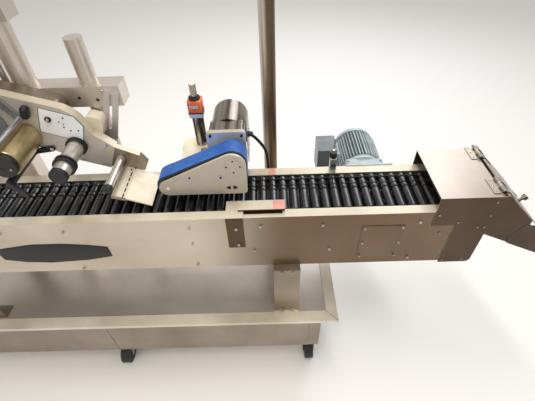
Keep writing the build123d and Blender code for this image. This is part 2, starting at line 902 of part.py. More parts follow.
# Outfeed hood: side plates over both conveyor sides, a top with the fixed hinge leaves, end wall and nose
hood_front_y = housing_front_y - thin_sheet
hood_back_y = housing_rear_y + thin_sheet
hood_depth = hood_back_y - hood_front_y
hinge_starts = (hinge_front_y - hinge_length / 2, hinge_rear_y - hinge_length / 2)
knuckle_length = hinge_length / 3
with BuildPart() as outfeed_hood:
    with BuildSketch(at_y(hood_back_y)):
        with BuildLine():
            Polyline(
                (hood_left_x, hood_top_z),
                (hood_shoulder_x, hood_top_z),
                (hood_nose_end_x, lid_line_z(hood_nose_end_x)),
                (hood_nose_end_x, nose_floor_z(hood_nose_end_x)),
                (hood_box_right_x, nose_floor_start_z),
                (hood_box_right_x, hood_box_bottom_z + hood_corner_radius),
            )
            RadiusArc(
                (hood_box_right_x, hood_box_bottom_z + hood_corner_radius),
                (hood_box_right_x - hood_corner_radius, hood_box_bottom_z),
                hood_corner_radius,
            )
            Polyline(
                (hood_box_right_x - hood_corner_radius, hood_box_bottom_z),
                (hood_seam_x, hood_box_bottom_z),
                (hood_seam_x, hood_step_z),
                (hood_left_x, hood_step_z),
                (hood_left_x, hood_top_z),
            )
        make_face()
    extrude(amount=hood_depth)
    with BuildSketch(at_y(housing_rear_y)):
        with BuildLine():
            Polyline(
                (hood_left_x - sheet, hood_top_z - thin_sheet),
                (hood_top_right_x, hood_top_z - thin_sheet),
                (hood_top_right_x, hood_top_z + sheet),
                (hood_nose_end_x + sheet, hood_top_z + sheet),
                (hood_nose_end_x + sheet, nose_floor_z(hood_nose_end_x + sheet) + thin_sheet),
                (hood_box_right_x - thin_sheet, nose_floor_start_z + sheet),
                (hood_box_right_x - thin_sheet, hood_box_bottom_z - sheet),
                (hood_left_x - sheet, hood_box_bottom_z - sheet),
                close=True,
            )
        make_face()
    extrude(amount=housing_rear_y - housing_front_y, mode=Mode.SUBTRACT)
    for start in hinge_starts:
        with BuildSketch(at_y(start + hinge_length)):
            with BuildLine():
                Polyline(
                    (hinge_x - hinge_leaf_width, hood_top_z),
                    (hinge_x - hinge_leaf_width, hood_top_z + sheet),
                    (hinge_x - hinge_knuckle_dia, hood_top_z + sheet),
                    (hinge_x - hinge_knuckle_dia, hood_top_z),
                    close=True,
                )
            make_face()
        extrude(amount=hinge_length)
        with BuildSketch(at_y(start + hinge_length - knuckle_length - running_gap)):
            with Locations((hinge_x, hinge_z)):
                Circle(hinge_knuckle_dia / 2)
            with Locations((hinge_x - hinge_knuckle_dia / 2, hood_top_z + sheet / 2)):
                Rectangle(hinge_knuckle_dia, sheet)
        extrude(amount=knuckle_length - 2 * running_gap)
        with BuildSketch(at_y(start + hinge_length)):
            with Locations((hinge_x, hinge_z)):
                Circle(hinge_pin_dia / 2)
        extrude(amount=hinge_length)
outfeed_hood.part.label = "outfeed_hood"
export_step(outfeed_hood.part, "parts/outfeed_hood.step")

# Lid of the hood: folded plate with moving hinge leaves and a pull knob
lid_cos = math.cos(math.radians(lid_slope))
lid_sin = math.sin(math.radians(lid_slope))
lid_start_x = hinge_x + hinge_knuckle_dia / 2 + 2 * running_gap
lid_end_x = hood_shoulder_x + lid_length * lid_cos
lid_low = running_gap / lid_cos
lid_high = lid_low + thin_sheet / lid_cos
leaf_end_x = hood_shoulder_x + hinge_leaf_width
with BuildPart() as outfeed_lid:
    with BuildSketch(at_y(hood_back_y)):
        with BuildLine():
            Polyline(
                (lid_start_x, hood_top_z + running_gap),
                (hood_shoulder_x, hood_top_z + running_gap),
                (lid_end_x, lid_line_z(lid_end_x) + lid_low),
                (lid_end_x + thin_sheet, lid_line_z(lid_end_x + thin_sheet) + lid_high),
                (hood_shoulder_x + thin_sheet / 2, hood_top_z + running_gap + thin_sheet),
                (lid_start_x, hood_top_z + running_gap + thin_sheet),
                close=True,
            )
        make_face()
    extrude(amount=hood_depth)
    for start in hinge_starts:
        for near in (start, start + hinge_length - knuckle_length):
            with BuildSketch(at_y(near + knuckle_length)):
                with Locations((hinge_x, hinge_z)):
                    Circle(hinge_knuckle_dia / 2)
                with BuildLine():
                    Polyline(
                        (hinge_x + hinge_pin_dia / 2, hinge_z),
                        (hinge_x + hinge_pin_dia / 2, hinge_z - hinge_knuckle_dia / 2 + running_gap),
                        (hood_shoulder_x, hood_top_z + running_gap + thin_sheet / 2),
                        (leaf_end_x, lid_line_z(leaf_end_x) + lid_high),
                        (leaf_end_x, lid_line_z(leaf_end_x) + lid_high + sheet),
                        (hood_shoulder_x + sheet, hood_top_z + running_gap + thin_sheet + sheet),
                        close=True,
                    )
                make_face()
                with Locations((hinge_x, hinge_z)):
                    Circle(hinge_pin_dia / 2 + shaft_fit, mode=Mode.SUBTRACT)
            extrude(amount=knuckle_length - running_gap)
    knob_x = hood_shoulder_x + lid_knob_along * lid_cos
    knob_plane = Plane(
        origin=(knob_x, lid_knob_y, lid_line_z(knob_x) + lid_high - running_gap),
        x_dir=(lid_cos, 0, -lid_sin),
        z_dir=(lid_sin, 0, lid_cos),
    )
    with BuildSketch(knob_plane):
        Circle(lid_knob_dia / 4)
    extrude(amount=lid_knob_height / 2)
    with BuildSketch(knob_plane.offset(lid_knob_height / 2)):
        Circle(lid_knob_dia / 2)
    extrude(amount=lid_knob_height / 2)
outfeed_lid.part.label = "outfeed_lid"
export_step(outfeed_lid.part, "parts/outfeed_lid.step")

# Chute: open channel that laps round the nose of the hood and carries on to its tip
chute_front_y = hood_front_y - thin_sheet
chute_back_y = hood_back_y + thin_sheet
chute_floor_drop = thin_sheet / math.cos(math.radians(nose_floor_slope))
with BuildPart() as outfeed_chute:
    with BuildSketch(at_y(chute_back_y)):
        with BuildLine():
            Polyline(
                (chute_overlap_x, nose_floor_z(chute_overlap_x) - chute_floor_drop),
                (chute_overlap_x, nose_floor_z(chute_overlap_x) + chute_lap_height),
                (chute_overlap_x + chute_cut_run, nose_floor_z(chute_overlap_x) + chute_wall),
                (chute_overlap_x + chute_edge_run, lid_line_z(chute_overlap_x + chute_edge_run) - sheet),
                (chute_tip_x, lid_line_z(chute_tip_x) - sheet),
                (chute_tip_x, nose_floor_z(chute_tip_x) - chute_floor_drop),
                close=True,
            )
        make_face()
    extrude(amount=chute_back_y - chute_front_y)
    with BuildSketch(at_y(hood_back_y)):
        with BuildLine():
            Polyline(
                (chute_overlap_x - sheet, nose_floor_z(chute_overlap_x - sheet)),
                (chute_overlap_x - sheet, hood_top_z),
                (chute_tip_x + sheet, hood_top_z),
                (chute_tip_x + sheet, nose_floor_z(chute_tip_x + sheet)),
                close=True,
            )
        make_face()
    extrude(amount=hood_depth, mode=Mode.SUBTRACT)
outfeed_chute.part.label = "outfeed_chute"
export_step(outfeed_chute.part, "parts/outfeed_chute.step")

# Gearbox of the chain drive on its square plate behind the conveyor
gearbox_start_y = housing_rear_y + gear_plate_thick
with BuildPart() as chain_gearbox:
    with BuildSketch(at_y(gearbox_start_y)):
        with Locations((drive_x, gear_plate_top_z - gear_plate_side / 2)):
            RectangleRounded(gear_plate_side, gear_plate_side, 4)
    extrude(amount=gear_plate_thick)
    with BuildSketch(at_y(motor_start_y)):
        with Locations((drive_x, shaft_z)):
            RectangleRounded(gearbox_side, gearbox_side, 10)
    extrude(amount=motor_start_y - gearbox_start_y)
    with BuildSketch(at_y(drive_shaft_end_y + sheet)):
        with Locations((drive_x, shaft_z)):
            Circle(shaft_dia / 2 + shaft_fit)
    extrude(amount=drive_shaft_end_y + sheet - housing_rear_y, mode=Mode.SUBTRACT)
chain_gearbox.part.label = "chain_gearbox"
export_step(chain_gearbox.part, "parts/chain_gearbox.step")

# Chain drive motor: end shields, finned body and the terminal box on its side
with BuildPart() as chain_motor:
    with BuildSketch(at_y(motor_start_y + motor_length)):
        with Locations((drive_x, shaft_z)):
            Circle(motor_core_dia / 2)
    extrude(amount=motor_length)
    for start in (motor_start_y, motor_start_y + motor_length - shield_thick):
        with BuildSketch(at_y(start + shield_thick)):
            with Locations((drive_x, shaft_z)):
                Circle(shield_dia / 2)
        extrude(amount=shield_thick)
    with BuildSketch(at_y(motor_start_y + motor_length - 2 * shield_thick)):
        with Locations((drive_x, shaft_z)):
            with PolarLocations((motor_core_dia + motor_dia) / 4, motor_fins):
                Rectangle((motor_dia - motor_core_dia) / 2 + sheet, fin_thick)
    extrude(amount=motor_length - 3 * shield_thick)
    with BuildSketch(Plane.XY.offset(terminal_box_z)):
        with Locations((terminal_box_x + terminal_box_width / 2, terminal_box_start_y + terminal_box_depth / 2)):
            RectangleRounded(terminal_box_width, terminal_box_depth, 5)
    extrude(amount=terminal_box_height)
    with BuildSketch(Plane.YZ.offset(terminal_box_x + terminal_box_width)):
        with Locations((terminal_box_start_y + terminal_box_depth / 2, shaft_z)):
            Rectangle(terminal_box_depth - 2 * terminal_neck_inset, terminal_box_height - 2 * terminal_neck_cut)
    extrude(amount=drive_x - motor_core_dia / 2 - terminal_box_x - terminal_box_width + terminal_neck_lap)
chain_motor.part.label = "chain_motor"
export_step(chain_motor.part, "parts/chain_motor.step")

# Press belt unit: two plates held apart by spacers and two fixed axles
press_roller_places = (
    (press_drive_x, press_drive_z, press_drive_belt_r),
    (press_nose_x, press_low_z, press_low_belt_r),
    (press_right_x, press_low_z, press_low_belt_r),
)


def press_outline(top_r):
    """Outline of a press plate: the hull of the nose, the top with this radius and the lower right corner."""
    with BuildSketch(mode=Mode.PRIVATE) as outline:
        with Locations((press_nose_x, press_low_z)):
            Circle(press_plate_nose_r)
        with Locations((press_drive_x, press_drive_z)):
            Circle(top_r)
        with Locations((press_plate_right_x - press_corner_r, press_plate_bottom_z + press_corner_r)):
            Circle(press_corner_r)
        make_hull()
    return outline.sketch


def belt_outline(inset):
    """Outline of the press belt, this far inside its outer surface."""
    with BuildSketch(mode=Mode.PRIVATE) as outline:
        for x, z, belt_r in press_roller_places:
            with Locations((x, z)):
                Circle(belt_r - inset)
        make_hull()
    return outline.sketch


with BuildPart() as press_frame:
    for rear_face, thick, top_r in (
        (press_front_y + press_front_plate, press_front_plate, press_plate_top_r),
        (gearmotor_y, press_back_plate, press_back_top_r),
    ):
        with BuildSketch(at_y(rear_face)):
            add(press_outline(top_r))
            with Locations((press_drive_x, press_drive_z)):
                Circle(shaft_dia / 2 + shaft_fit, mode=Mode.SUBTRACT)
        extrude(amount=thick)
    with BuildSketch(at_y(press_back_y)):
        with Locations(*press_spacers):
            Circle(press_spacer_dia / 2)
        with Locations((press_nose_x, press_low_z), (press_right_x, press_low_z)):
            Circle(press_axle_dia / 2)
    extrude(amount=press_back_y - press_front_y - press_front_plate)
press_frame.part.label = "press_frame"
export_step(press_frame.part, "parts/press_frame.step")

with BuildPart() as press_belt:
    with BuildSketch(at_y(belt_rear_y)):
        add(belt_outline(0))
        add(belt_outline(belt_thick), mode=Mode.SUBTRACT)
    extrude(amount=belt_width)
press_belt.part.label = "press_belt"
export_step(press_belt.part, "parts/press_belt.step")

with BuildPart() as press_drive_roller:
    with BuildSketch(at_y(belt_rear_y)):
        with Locations((press_drive_x, press_drive_z)):
            Circle(press_drive_belt_r - belt_thick - running_gap)
    extrude(amount=belt_width)
    with BuildSketch(at_y(gearmotor_y + gearmotor_flange_thick)):
        with Locations((press_drive_x, press_drive_z)):
            Circle(shaft_dia / 2)
    extrude(amount=gearmotor_y + gearmotor_flange_thick - press_front_y)
press_drive_roller.part.label = "press_drive_roller"
export_step(press_drive_roller.part, "parts/press_drive_roller.step")

for name, x in (("press_nose_roller", press_nose_x), ("press_low_roller", press_right_x)):
    with BuildPart() as press_roller:
        with BuildSketch(at_y(belt_rear_y)):
            with Locations((x, press_low_z)):
                Circle(press_low_belt_r - belt_thick - running_gap)
                Circle(press_axle_dia / 2 + shaft_fit, mode=Mode.SUBTRACT)
        extrude(amount=belt_width)
    press_roller.part.label = name
    export_step(press_roller.part, f"parts/{name}.step")

# Gearmotor of the press belt: flange with an off-centre bore, gearhead and motor can
with BuildPart() as press_gearmotor:
    with BuildSketch(at_y(gearmotor_y + gearmotor_flange_thick)):
        with Locations((gearmotor_x, press_drive_z)):
            RectangleRounded(gearmotor_flange, gearmotor_flange, 7)
    extrude(amount=gearmotor_flange_thick)
    with BuildSketch(at_y(gearbox_rear_y)):
        with Locations((gearmotor_x, press_drive_z)):
            RectangleRounded(gearmotor_box, gearmotor_box, 6)
    extrude(amount=gearmotor_box_length)
    with BuildSketch(at_y(gearbox_rear_y + motor_can_length)):
        with Locations((gearmotor_x, press_drive_z)):
            Circle(motor_can_dia / 2)
    extrude(amount=motor_can_length)
    with BuildSketch(at_y(gearmotor_y + gearmotor_flange_thick + sheet)):
        with Locations((press_drive_x, press_drive_z)):
            Circle(shaft_dia / 2 + shaft_fit)
    extrude(amount=gearmotor_flange_thick + sheet, mode=Mode.SUBTRACT)
press_gearmotor.part.label = "press_gearmotor"
export_step(press_gearmotor.part, "parts/press_gearmotor.step")

# Arched sheet cover over the motor can, open below
with BuildPart() as press_motor_cover:
    with BuildSketch(at_y(gearbox_rear_y + motor_hood_length)):
        with Locations((gearmotor_x, press_drive_z)):
            Circle(motor_hood_width / 2)
        with Locations((gearmotor_x, (press_drive_z + motor_hood_bottom_z) / 2)):
            Rectangle(motor_hood_width, press_drive_z - motor_hood_bottom_z)
    extrude(amount=motor_hood_length)
    with BuildSketch(at_y(gearbox_rear_y + motor_hood_length - thin_sheet)):
        with Locations((gearmotor_x, press_drive_z)):
            Circle(motor_hood_width / 2 - thin_sheet)
        with Locations((gearmotor_x, (press_drive_z + motor_hood_bottom_z) / 2)):
            Rectangle(motor_hood_width - 2 * thin_sheet, press_drive_z - motor_hood_bottom_z)
    extrude(amount=motor_hood_length - thin_sheet, mode=Mode.SUBTRACT)
press_motor_cover.part.label = "press_motor_cover"
export_step(press_motor_cover.part, "parts/press_motor_cover.step")

# Height column: bracket block on the rear side, tube and square cap
with BuildPart() as height_column:
    with BuildSketch(Plane.XY.offset(column_bottom_z)):
        with Locations((column_x, housing_rear_y + column_block_depth / 2)):
            Rectangle(column_block_width, column_block_depth)
    extrude(amount=column_block_height)
    with BuildSketch(Plane.XY.offset(column_bottom_z)):
        with Locations((column_x, column_y)):
            Circle(column_dia / 2)
    extrude(amount=column_top_z - column_bottom_z)
    with BuildSketch(Plane.XY.offset(column_top_z)):
        with Locations((column_x, column_y)):
            RectangleRounded(column_cap_side, column_cap_side, 3)
    extrude(amount=column_cap_height)
    with BuildSketch(Plane.XY.offset(column_top_z + column_cap_height)):
        with Locations((column_x, column_y)):
            Circle(spindle_dia / 2 + shaft_fit)
    extrude(amount=-column_cap_height - spindle_reach - running_gap, mode=Mode.SUBTRACT)
height_column.part.label = "height_column"
export_step(height_column.part, "parts/height_column.step")

# Slide block: clamps round the column and reaches over the rail to the back plate of the press unit
with BuildPart() as slide_block:
    with BuildSketch(Plane.XY.offset(slide_block_z)):
        with Locations(((slide_block_left_x + slide_block_right_x) / 2, column_y)):
            Rectangle(slide_block_right_x - slide_block_left_x, slide_block_depth)
        with Locations((column_x - slide_tongue_width / 2, (gearmotor_y + column_y) / 2)):
            Rectangle(slide_tongue_width, column_y - gearmotor_y)
        with Locations((column_x, column_y)):
            Circle(column_dia / 2 + shaft_fit, mode=Mode.SUBTRACT)
    extrude(amount=slide_block_height)
slide_block.part.label = "slide_block"
export_step(slide_block.part, "parts/slide_block.step")

# Position indicator: body with a sloping front edge on a thin seat, collar and spindle bore
indicator_z = column_top_z + column_cap_height
indicator_front_y = column_y - column_cap_side / 2
indicator_back_y = indicator_front_y + indicator_depth
seat_side = column_cap_side - 2 * indicator_seat_inset
with BuildPart() as position_indicator:
    with BuildSketch(Plane.XY.offset(indicator_z)):
        with Locations((column_x, column_y)):
            Rectangle(seat_side, seat_side)
    extrude(amount=indicator_seat)
    with BuildSketch(Plane.YZ.offset(column_x - column_cap_side / 2)):
        with BuildLine():
            Polyline(
                (indicator_back_y, indicator_z + indicator_seat),
                (indicator_front_y, indicator_z + indicator_seat),
                (indicator_front_y, indicator_z + indicator_height - indicator_slope_drop),
                (indicator_front_y + indicator_slope_run, indicator_z + indicator_height),
                (indicator_back_y, indicator_z + indicator_height),
                close=True,
            )
        make_face()
    extrude(amount=column_cap_side)
    with BuildSketch(Plane.XY.offset(indicator_z + indicator_height)):
        with Locations((column_x, column_y)):
            Circle(indicator_collar_dia / 2)
    extrude(amount=indicator_collar_height)
    with BuildSketch(Plane.XY.offset(indicator_z)):
        with Locations((column_x, column_y)):
            Circle(spindle_dia / 2 + shaft_fit)
    extrude(amount=indicator_height + indicator_collar_height, mode=Mode.SUBTRACT)
position_indicator.part.label = "position_indicator"
export_step(position_indicator.part, "parts/position_indicator.step")

# Height spindle with its knob
collar_top_z = indicator_z + indicator_height + indicator_collar_height
with BuildPart() as height_knob:
    with BuildSketch(Plane.XY.offset(column_top_z - spindle_reach)):
        with Locations((column_x, column_y)):
            Circle(spindle_dia / 2)
    extrude(amount=collar_top_z + spindle_stub - column_top_z + spindle_reach)
    with BuildSketch(Plane.XY.offset(collar_top_z + spindle_stub)):
        with Locations((column_x, column_y)):
            Circle(spindle_knob_dia / 2)
    extrude(amount=spindle_knob_height)
height_knob.part.label = "height_knob"
export_step(height_knob.part, "parts/height_knob.step")

# Operator pole: tube on a round foot
with BuildPart() as operator_pole:
    with BuildSketch(Plane.XY.offset(tray_z)):
        with Locations((pole_x, pole_y)):
            Circle(pole_foot_dia / 2)
    extrude(amount=pole_foot_thick)
    with BuildSketch(Plane.XY.offset(tray_z)):
        with Locations((pole_x, pole_y)):
            Circle(pole_dia / 2)
    extrude(amount=pole_top_z - tray_z)
    with BuildSketch(Plane.XY.offset(pole_top_z)):
        with Locations((pole_x, pole_y)):
            Circle(pole_dia / 2 - arm_wall)
    extrude(amount=-spigot_length - sheet, mode=Mode.SUBTRACT)
operator_pole.part.label = "operator_pole"
export_step(operator_pole.part, "parts/operator_pole.step")

# Operator box: sloped front with a recessed blank screen, on a spigot that turns in the pole
box_z = pole_top_z + running_gap
box_front_y = pole_y - operator_depth * 2 / 3
box_slope = operator_height * math.tan(math.radians(operator_tilt))
face_plane = Plane(
    origin=(pole_x, box_front_y, box_z),
    x_dir=(1, 0, 0),
    z_dir=(0, -math.cos(math.radians(operator_tilt)), math.sin(math.radians(operator_tilt))),
)
with BuildPart() as operator_box:
    with BuildSketch(Plane.YZ.offset(pole_x - operator_width / 2)):
        with BuildLine():
            Polyline(
                (pole_y + operator_depth / 2, box_z),
                (box_front_y, box_z),
                (box_front_y + box_slope, box_z + operator_height),
                (pole_y + operator_depth / 2, box_z + operator_height),
                close=True,
            )
        make_face()
    extrude(amount=operator_width)
    with BuildSketch(face_plane):
        with Locations((-screen_offset, screen_centre)):
            Rectangle(screen_width, screen_height)
    extrude(amount=-sheet, mode=Mode.SUBTRACT)
    with BuildSketch(face_plane):
        with Locations((estop_offset, screen_centre)):
            Circle(estop_stem_dia / 2 + shaft_fit)
    extrude(amount=-estop_depth, mode=Mode.SUBTRACT)
    with BuildSketch(Plane.XY.offset(box_z)):
        with Locations((pole_x, pole_y)):
            Circle(pole_dia / 2 - arm_wall - shaft_fit)
    extrude(amount=-spigot_length)
operator_box.part.label = "operator_box"
export_step(operator_box.part, "parts/operator_box.step")

# Emergency stop: mushroom head on a stem
with BuildPart() as emergency_stop:
    with BuildSketch(face_plane.offset(-estop_stem_in)):
        with Locations((estop_offset, screen_centre)):
            Circle(estop_stem_dia / 2)
    extrude(amount=estop_stem_in + estop_stand)
    with BuildSketch(face_plane.offset(estop_stand)):
        with Locations((estop_offset, screen_centre)):
            Circle(estop_dia / 2)
    extrude(amount=estop_head)
emergency_stop.part.label = "emergency_stop"
export_step(emergency_stop.part, "parts/emergency_stop.step")


# Label head: deep front plate, open behind, with the fixed roller axles
def head_outline(inset):
    """Outline of the label head plate, this far inside its edge."""
    with BuildSketch(mode=Mode.PRIVATE) as outline:
        with BuildLine():
            Polyline(
                (head_neck_u, head_neck_v),
                (head_right_v * head_edge_lean, head_right_v),
                (0, 0),
                (head_shoulder_u, head_shoulder_v),
                (head_mid_u, head_mid_v),
                (head_left_u, head_mid_v),
                (head_left_u, head_top_v),
                (head_arc_start_u, head_top_v),
            )
            ThreePointArc(
                (head_arc_start_u, head_top_v),
                (head_arc_mid_u, head_arc_mid_v),
                (head_arc_end_u, head_arc_end_v),
            )
            Polyline(
                (head_arc_end_u, head_arc_end_v),
                (head_slope_u, head_slope_v),
                (head_neck_u, head_neck_v),
            )
        make_face()
        if inset:
            offset(amount=-inset, kind=Kind.INTERSECTION)
    return outline.sketch


plate_axles = ((drum_u, drum_v), (ringed_u, ringed_v), (rewind_u, rewind_v))
with BuildPart() as head_plate:
    with BuildSketch(head_plane(head_rear_y)):
        add(head_outline(0))
    extrude(amount=head_plate_depth)
    with BuildSketch(head_plane(head_rear_y)):
        add(head_outline(head_plate_wall))
    extrude(amount=head_plate_depth - head_plate_wall, mode=Mode.SUBTRACT)
    with BuildSketch(head_plane(head_front_y)):
        with Locations(*plate_axles):
            Circle(head_axle_dia / 2)
        with Locations((nip_pivot_u, nip_pivot_v), (dancer_u, dancer_v)):
            Circle(pivot_dia / 2)
        with Locations((button_u, button_v)):
            Circle(button_stem_dia / 2)
    extrude(amount=pivot_reach)
    with BuildSketch(head_plane(head_front_y)):
        with Locations(*plate_axles):
            Circle(head_axle_dia / 2)
    extrude(amount=axle_reach)
head_plate.part.label = "head_plate"
export_step(head_plate.part, "parts/head_plate.step")

# Housing behind the front plate
with BuildPart() as head_housing:
    with BuildSketch(head_plane(housing_back_y)):
        with Locations(((head_left_u + housing_right_u) / 2, (housing_bottom_v + head_top_v) / 2)):
            RectangleRounded(housing_right_u - head_left_u, head_top_v - housing_bottom_v, housing_corner_r)
    extrude(amount=head_housing_depth)
    offset(amount=-head_plate_wall, openings=head_housing.faces().sort_by(Axis.Y)[0])
head_housing.part.label = "head_housing"
export_step(head_housing.part, "parts/head_housing.step")

# Drive motor of the label head
with BuildPart() as head_motor:
    with BuildSketch(head_plane(head_rear_y + head_motor_length)):
        with Locations((head_motor_u, head_motor_v)):
            RectangleRounded(head_motor_side, head_motor_side, 6)
    extrude(amount=head_motor_length)
head_motor.part.label = "head_motor"
export_step(head_motor.part, "parts/head_motor.step")

# Adjusting knob on the control field
with BuildPart() as head_knob:
    with BuildSketch(head_plane(head_front_y - running_gap)):
        with Locations((button_u, button_v)):
            Circle(button_dia / 2)
            Circle(button_stem_dia / 2 + shaft_fit, mode=Mode.SUBTRACT)
    extrude(amount=button_height)
head_knob.part.label = "head_knob"
export_step(head_knob.part, "parts/head_knob.step")

# Rollers of the label head: each is a closed sleeve over its fixed axle
roller_far_y = head_front_y - 1.0

with BuildPart() as knurled_drum:
    with BuildSketch(head_plane(roller_far_y)):
        with Locations((drum_u, drum_v)):
            Circle(drum_dia / 2)
    extrude(amount=roller_far_y - roller_near_y - drum_cap_thick)
    with BuildSketch(head_plane(roller_near_y + drum_cap_thick)):
        with Locations((drum_u, drum_v)):
            Circle(drum_cap_dia / 2)
    extrude(amount=drum_cap_thick)
    with BuildSketch(head_plane(roller_far_y)):
        with Locations((drum_u, drum_v)):
            Circle(head_axle_dia / 2 + shaft_fit)
    extrude(amount=axle_reach, mode=Mode.SUBTRACT)
knurled_drum.part.label = "knurled_drum"
export_step(knurled_drum.part, "parts/knurled_drum.step")

with BuildPart() as ringed_roller:
    with BuildSketch(head_plane(roller_far_y)):
        with Locations((ringed_u, ringed_v)):
            Circle(ringed_dia / 2)
    extrude(amount=roller_far_y - roller_near_y)
    with BuildSketch(head_plane(roller_far_y)):
        with Locations((ringed_u, ringed_v)):
            Circle(ringed_collar_dia / 2)
    extrude(amount=ringed_collar_thick)
    for ring_step in (0, 1):
        with BuildSketch(head_plane(head_front_y - ringed_ring_reach - ring_step * ringed_ring_step)):
            with Locations((ringed_u, ringed_v)):
                Circle(ring_dia / 2)
        extrude(amount=ring_thick)
    with BuildSketch(head_plane(roller_far_y)):
        with Locations((ringed_u, ringed_v)):
            Circle(head_axle_dia / 2 + shaft_fit)
    extrude(amount=axle_reach, mode=Mode.SUBTRACT)
ringed_roller.part.label = "ringed_roller"
export_step(ringed_roller.part, "parts/ringed_roller.step")

with BuildPart() as plain_roller:
    with BuildSketch(head_plane(roller_far_y)):
        with Locations((plain_u, plain_v)):
            Circle(plain_dia / 2)
            Circle(head_axle_dia / 2 + shaft_fit, mode=Mode.SUBTRACT)
    extrude(amount=roller_far_y - roller_near_y - end_cap_length)
    with BuildSketch(head_plane(roller_near_y + end_cap_length)):
        with Locations((plain_u, plain_v)):
            Circle(plain_dia / 2)
    extrude(amount=end_cap_length)
plain_roller.part.label = "plain_roller"
export_step(plain_roller.part, "parts/plain_roller.step")

# Nip arm: plate on its pivot with a small roller under the drum and a handle at the near end
with BuildPart() as nip_arm:
    with BuildSketch(head_plane(head_front_y - 1.0)):
        with Locations((nip_pivot_u, nip_pivot_v), (nip_u, nip_v)):
            Circle(nip_arm_width / 2)
        make_hull()
        with Locations((nip_pivot_u, nip_pivot_v)):
            Circle(pivot_dia / 2 + shaft_fit, mode=Mode.SUBTRACT)
    extrude(amount=dancer_arm_thick)
    with BuildSketch(head_plane(head_front_y - 1.0)):
        with Locations((nip_u, nip_v)):
            Circle(nip_roller_dia / 2)
    extrude(amount=head_front_y - 1.0 - roller_near_y)
    with BuildSketch(head_plane(roller_near_y)):
        with Locations((nip_u, nip_v), (nip_handle_u, nip_handle_v)):
            Circle(nip_arm_width / 2)
        make_hull()
    extrude(amount=dancer_arm_thick)
nip_arm.part.label = "nip_arm"
export_step(nip_arm.part, "parts/nip_arm.step")

# Dancer arm: flat bar on its pivot with the rod that carries the label web
with BuildPart() as dancer_arm:
    with BuildSketch(head_plane(head_front_y - 1.0)):
        with Locations((dancer_u, dancer_v), (dancer_rod_u, dancer_rod_v)):
            Circle(dancer_arm_width / 2)
        make_hull()
        with Locations((dancer_u, dancer_v)):
            Circle(pivot_dia / 2 + shaft_fit, mode=Mode.SUBTRACT)
    extrude(amount=dancer_arm_thick)
    with BuildSketch(head_plane(head_front_y - 1.0)):
        with Locations((dancer_rod_u, dancer_rod_v)):
            Circle(dancer_rod_dia / 2)
    extrude(amount=head_front_y - 1.0 - roller_near_y)
dancer_arm.part.label = "dancer_arm"
export_step(dancer_arm.part, "parts/dancer_arm.step")

# Peel arm: side plate on the edge of the head, slotted crossbar and the axle of the plain roller
with BuildPart() as peel_arm:
    with BuildSketch(head_plane(head_front_y + peel_arm_depth)):
        with BuildLine():
            Polyline(
                (peel_arm_root_v * head_edge_lean, peel_arm_root_v),
                (head_right_v * head_edge_lean, head_right_v),
                (peel_arm_shoulder_u, peel_arm_shoulder_v),
                (peel_arm_tip_u, peel_arm_tip_high_v),
                (peel_arm_tip_u - 4, peel_arm_tip_low_v),
                close=True,
            )
        make_face()
    extrude(amount=peel_arm_depth)
    with BuildSketch(head_plane(head_front_y)):
        with Locations(((peel_block_start_u + peel_plate_start_u) / 2, peel_block_v + peel_block_thick / 2)):
            Rectangle(peel_plate_start_u - peel_block_start_u, peel_block_thick)
        with Locations((plain_u, plain_v)):
            Circle(head_axle_dia / 2)
    extrude(amount=-sheet)
    with BuildSketch(head_plane(head_front_y)):
        with Locations(((peel_block_start_u + peel_plate_start_u) / 2, peel_block_v + peel_block_thick / 2)):
            Rectangle(peel_plate_start_u - peel_block_start_u, peel_block_thick)
    extrude(amount=head_front_y - peel_front_y)
    with BuildSketch(head_plane(head_front_y)):
        with Locations((plain_u, plain_v)):
            Circle(head_axle_dia / 2)
    extrude(amount=axle_reach)
peel_arm.part.label = "peel_arm"
export_step(peel_arm.part, "parts/peel_arm.step")

# Peel plate: thin wedge over which the backing is pulled back
with BuildPart() as peel_plate:
    with BuildSketch(head_plane(head_front_y)):
        with BuildLine():
            Polyline(
                (peel_plate_start_u, peel_block_v + peel_block_thick),
                (peel_tip_u, peel_tip_v + peel_plate_thick / 2),
                (peel_tip_u, peel_tip_v - peel_plate_thick / 2),
                (peel_plate_start_u, peel_block_v + peel_block_thick / 2),
                close=True,
            )
        make_face()
    extrude(amount=head_front_y - peel_front_y)
peel_plate.part.label = "peel_plate"
export_step(peel_plate.part, "parts/peel_plate.step")

# Hanger: slotted plate on the front of the box arm, with the rounded boss behind the head
hanger_mid_u = hanger_left_u + hanger_width / 2
with BuildPart() as head_hanger:
    with BuildSketch(head_plane(housing_back_y)):
        with Locations((hanger_mid_u, (hanger_low_v + hanger_high_v) / 2)):
            Rectangle(hanger_width, hanger_high_v - hanger_low_v)
        with Locations((hanger_mid_u, (hanger_slot_low_v + hanger_slot_high_v) / 2)):
            SlotOverall(hanger_slot_high_v - hanger_slot_low_v, hanger_slot_width, rotation=90, mode=Mode.SUBTRACT)
    extrude(amount=hanger_sheet)
    with BuildSketch(head_plane(housing_back_y)):
        with Locations(((boss_left_u + boss_right_u) / 2, (boss_low_v + boss_high_v) / 2)):
            RectangleRounded(boss_right_u - boss_left_u, boss_high_v - boss_low_v, boss_corner_r)
    extrude(amount=head_housing_depth)
head_hanger.part.label = "head_hanger"
export_step(head_hanger.part, "parts/head_hanger.step")

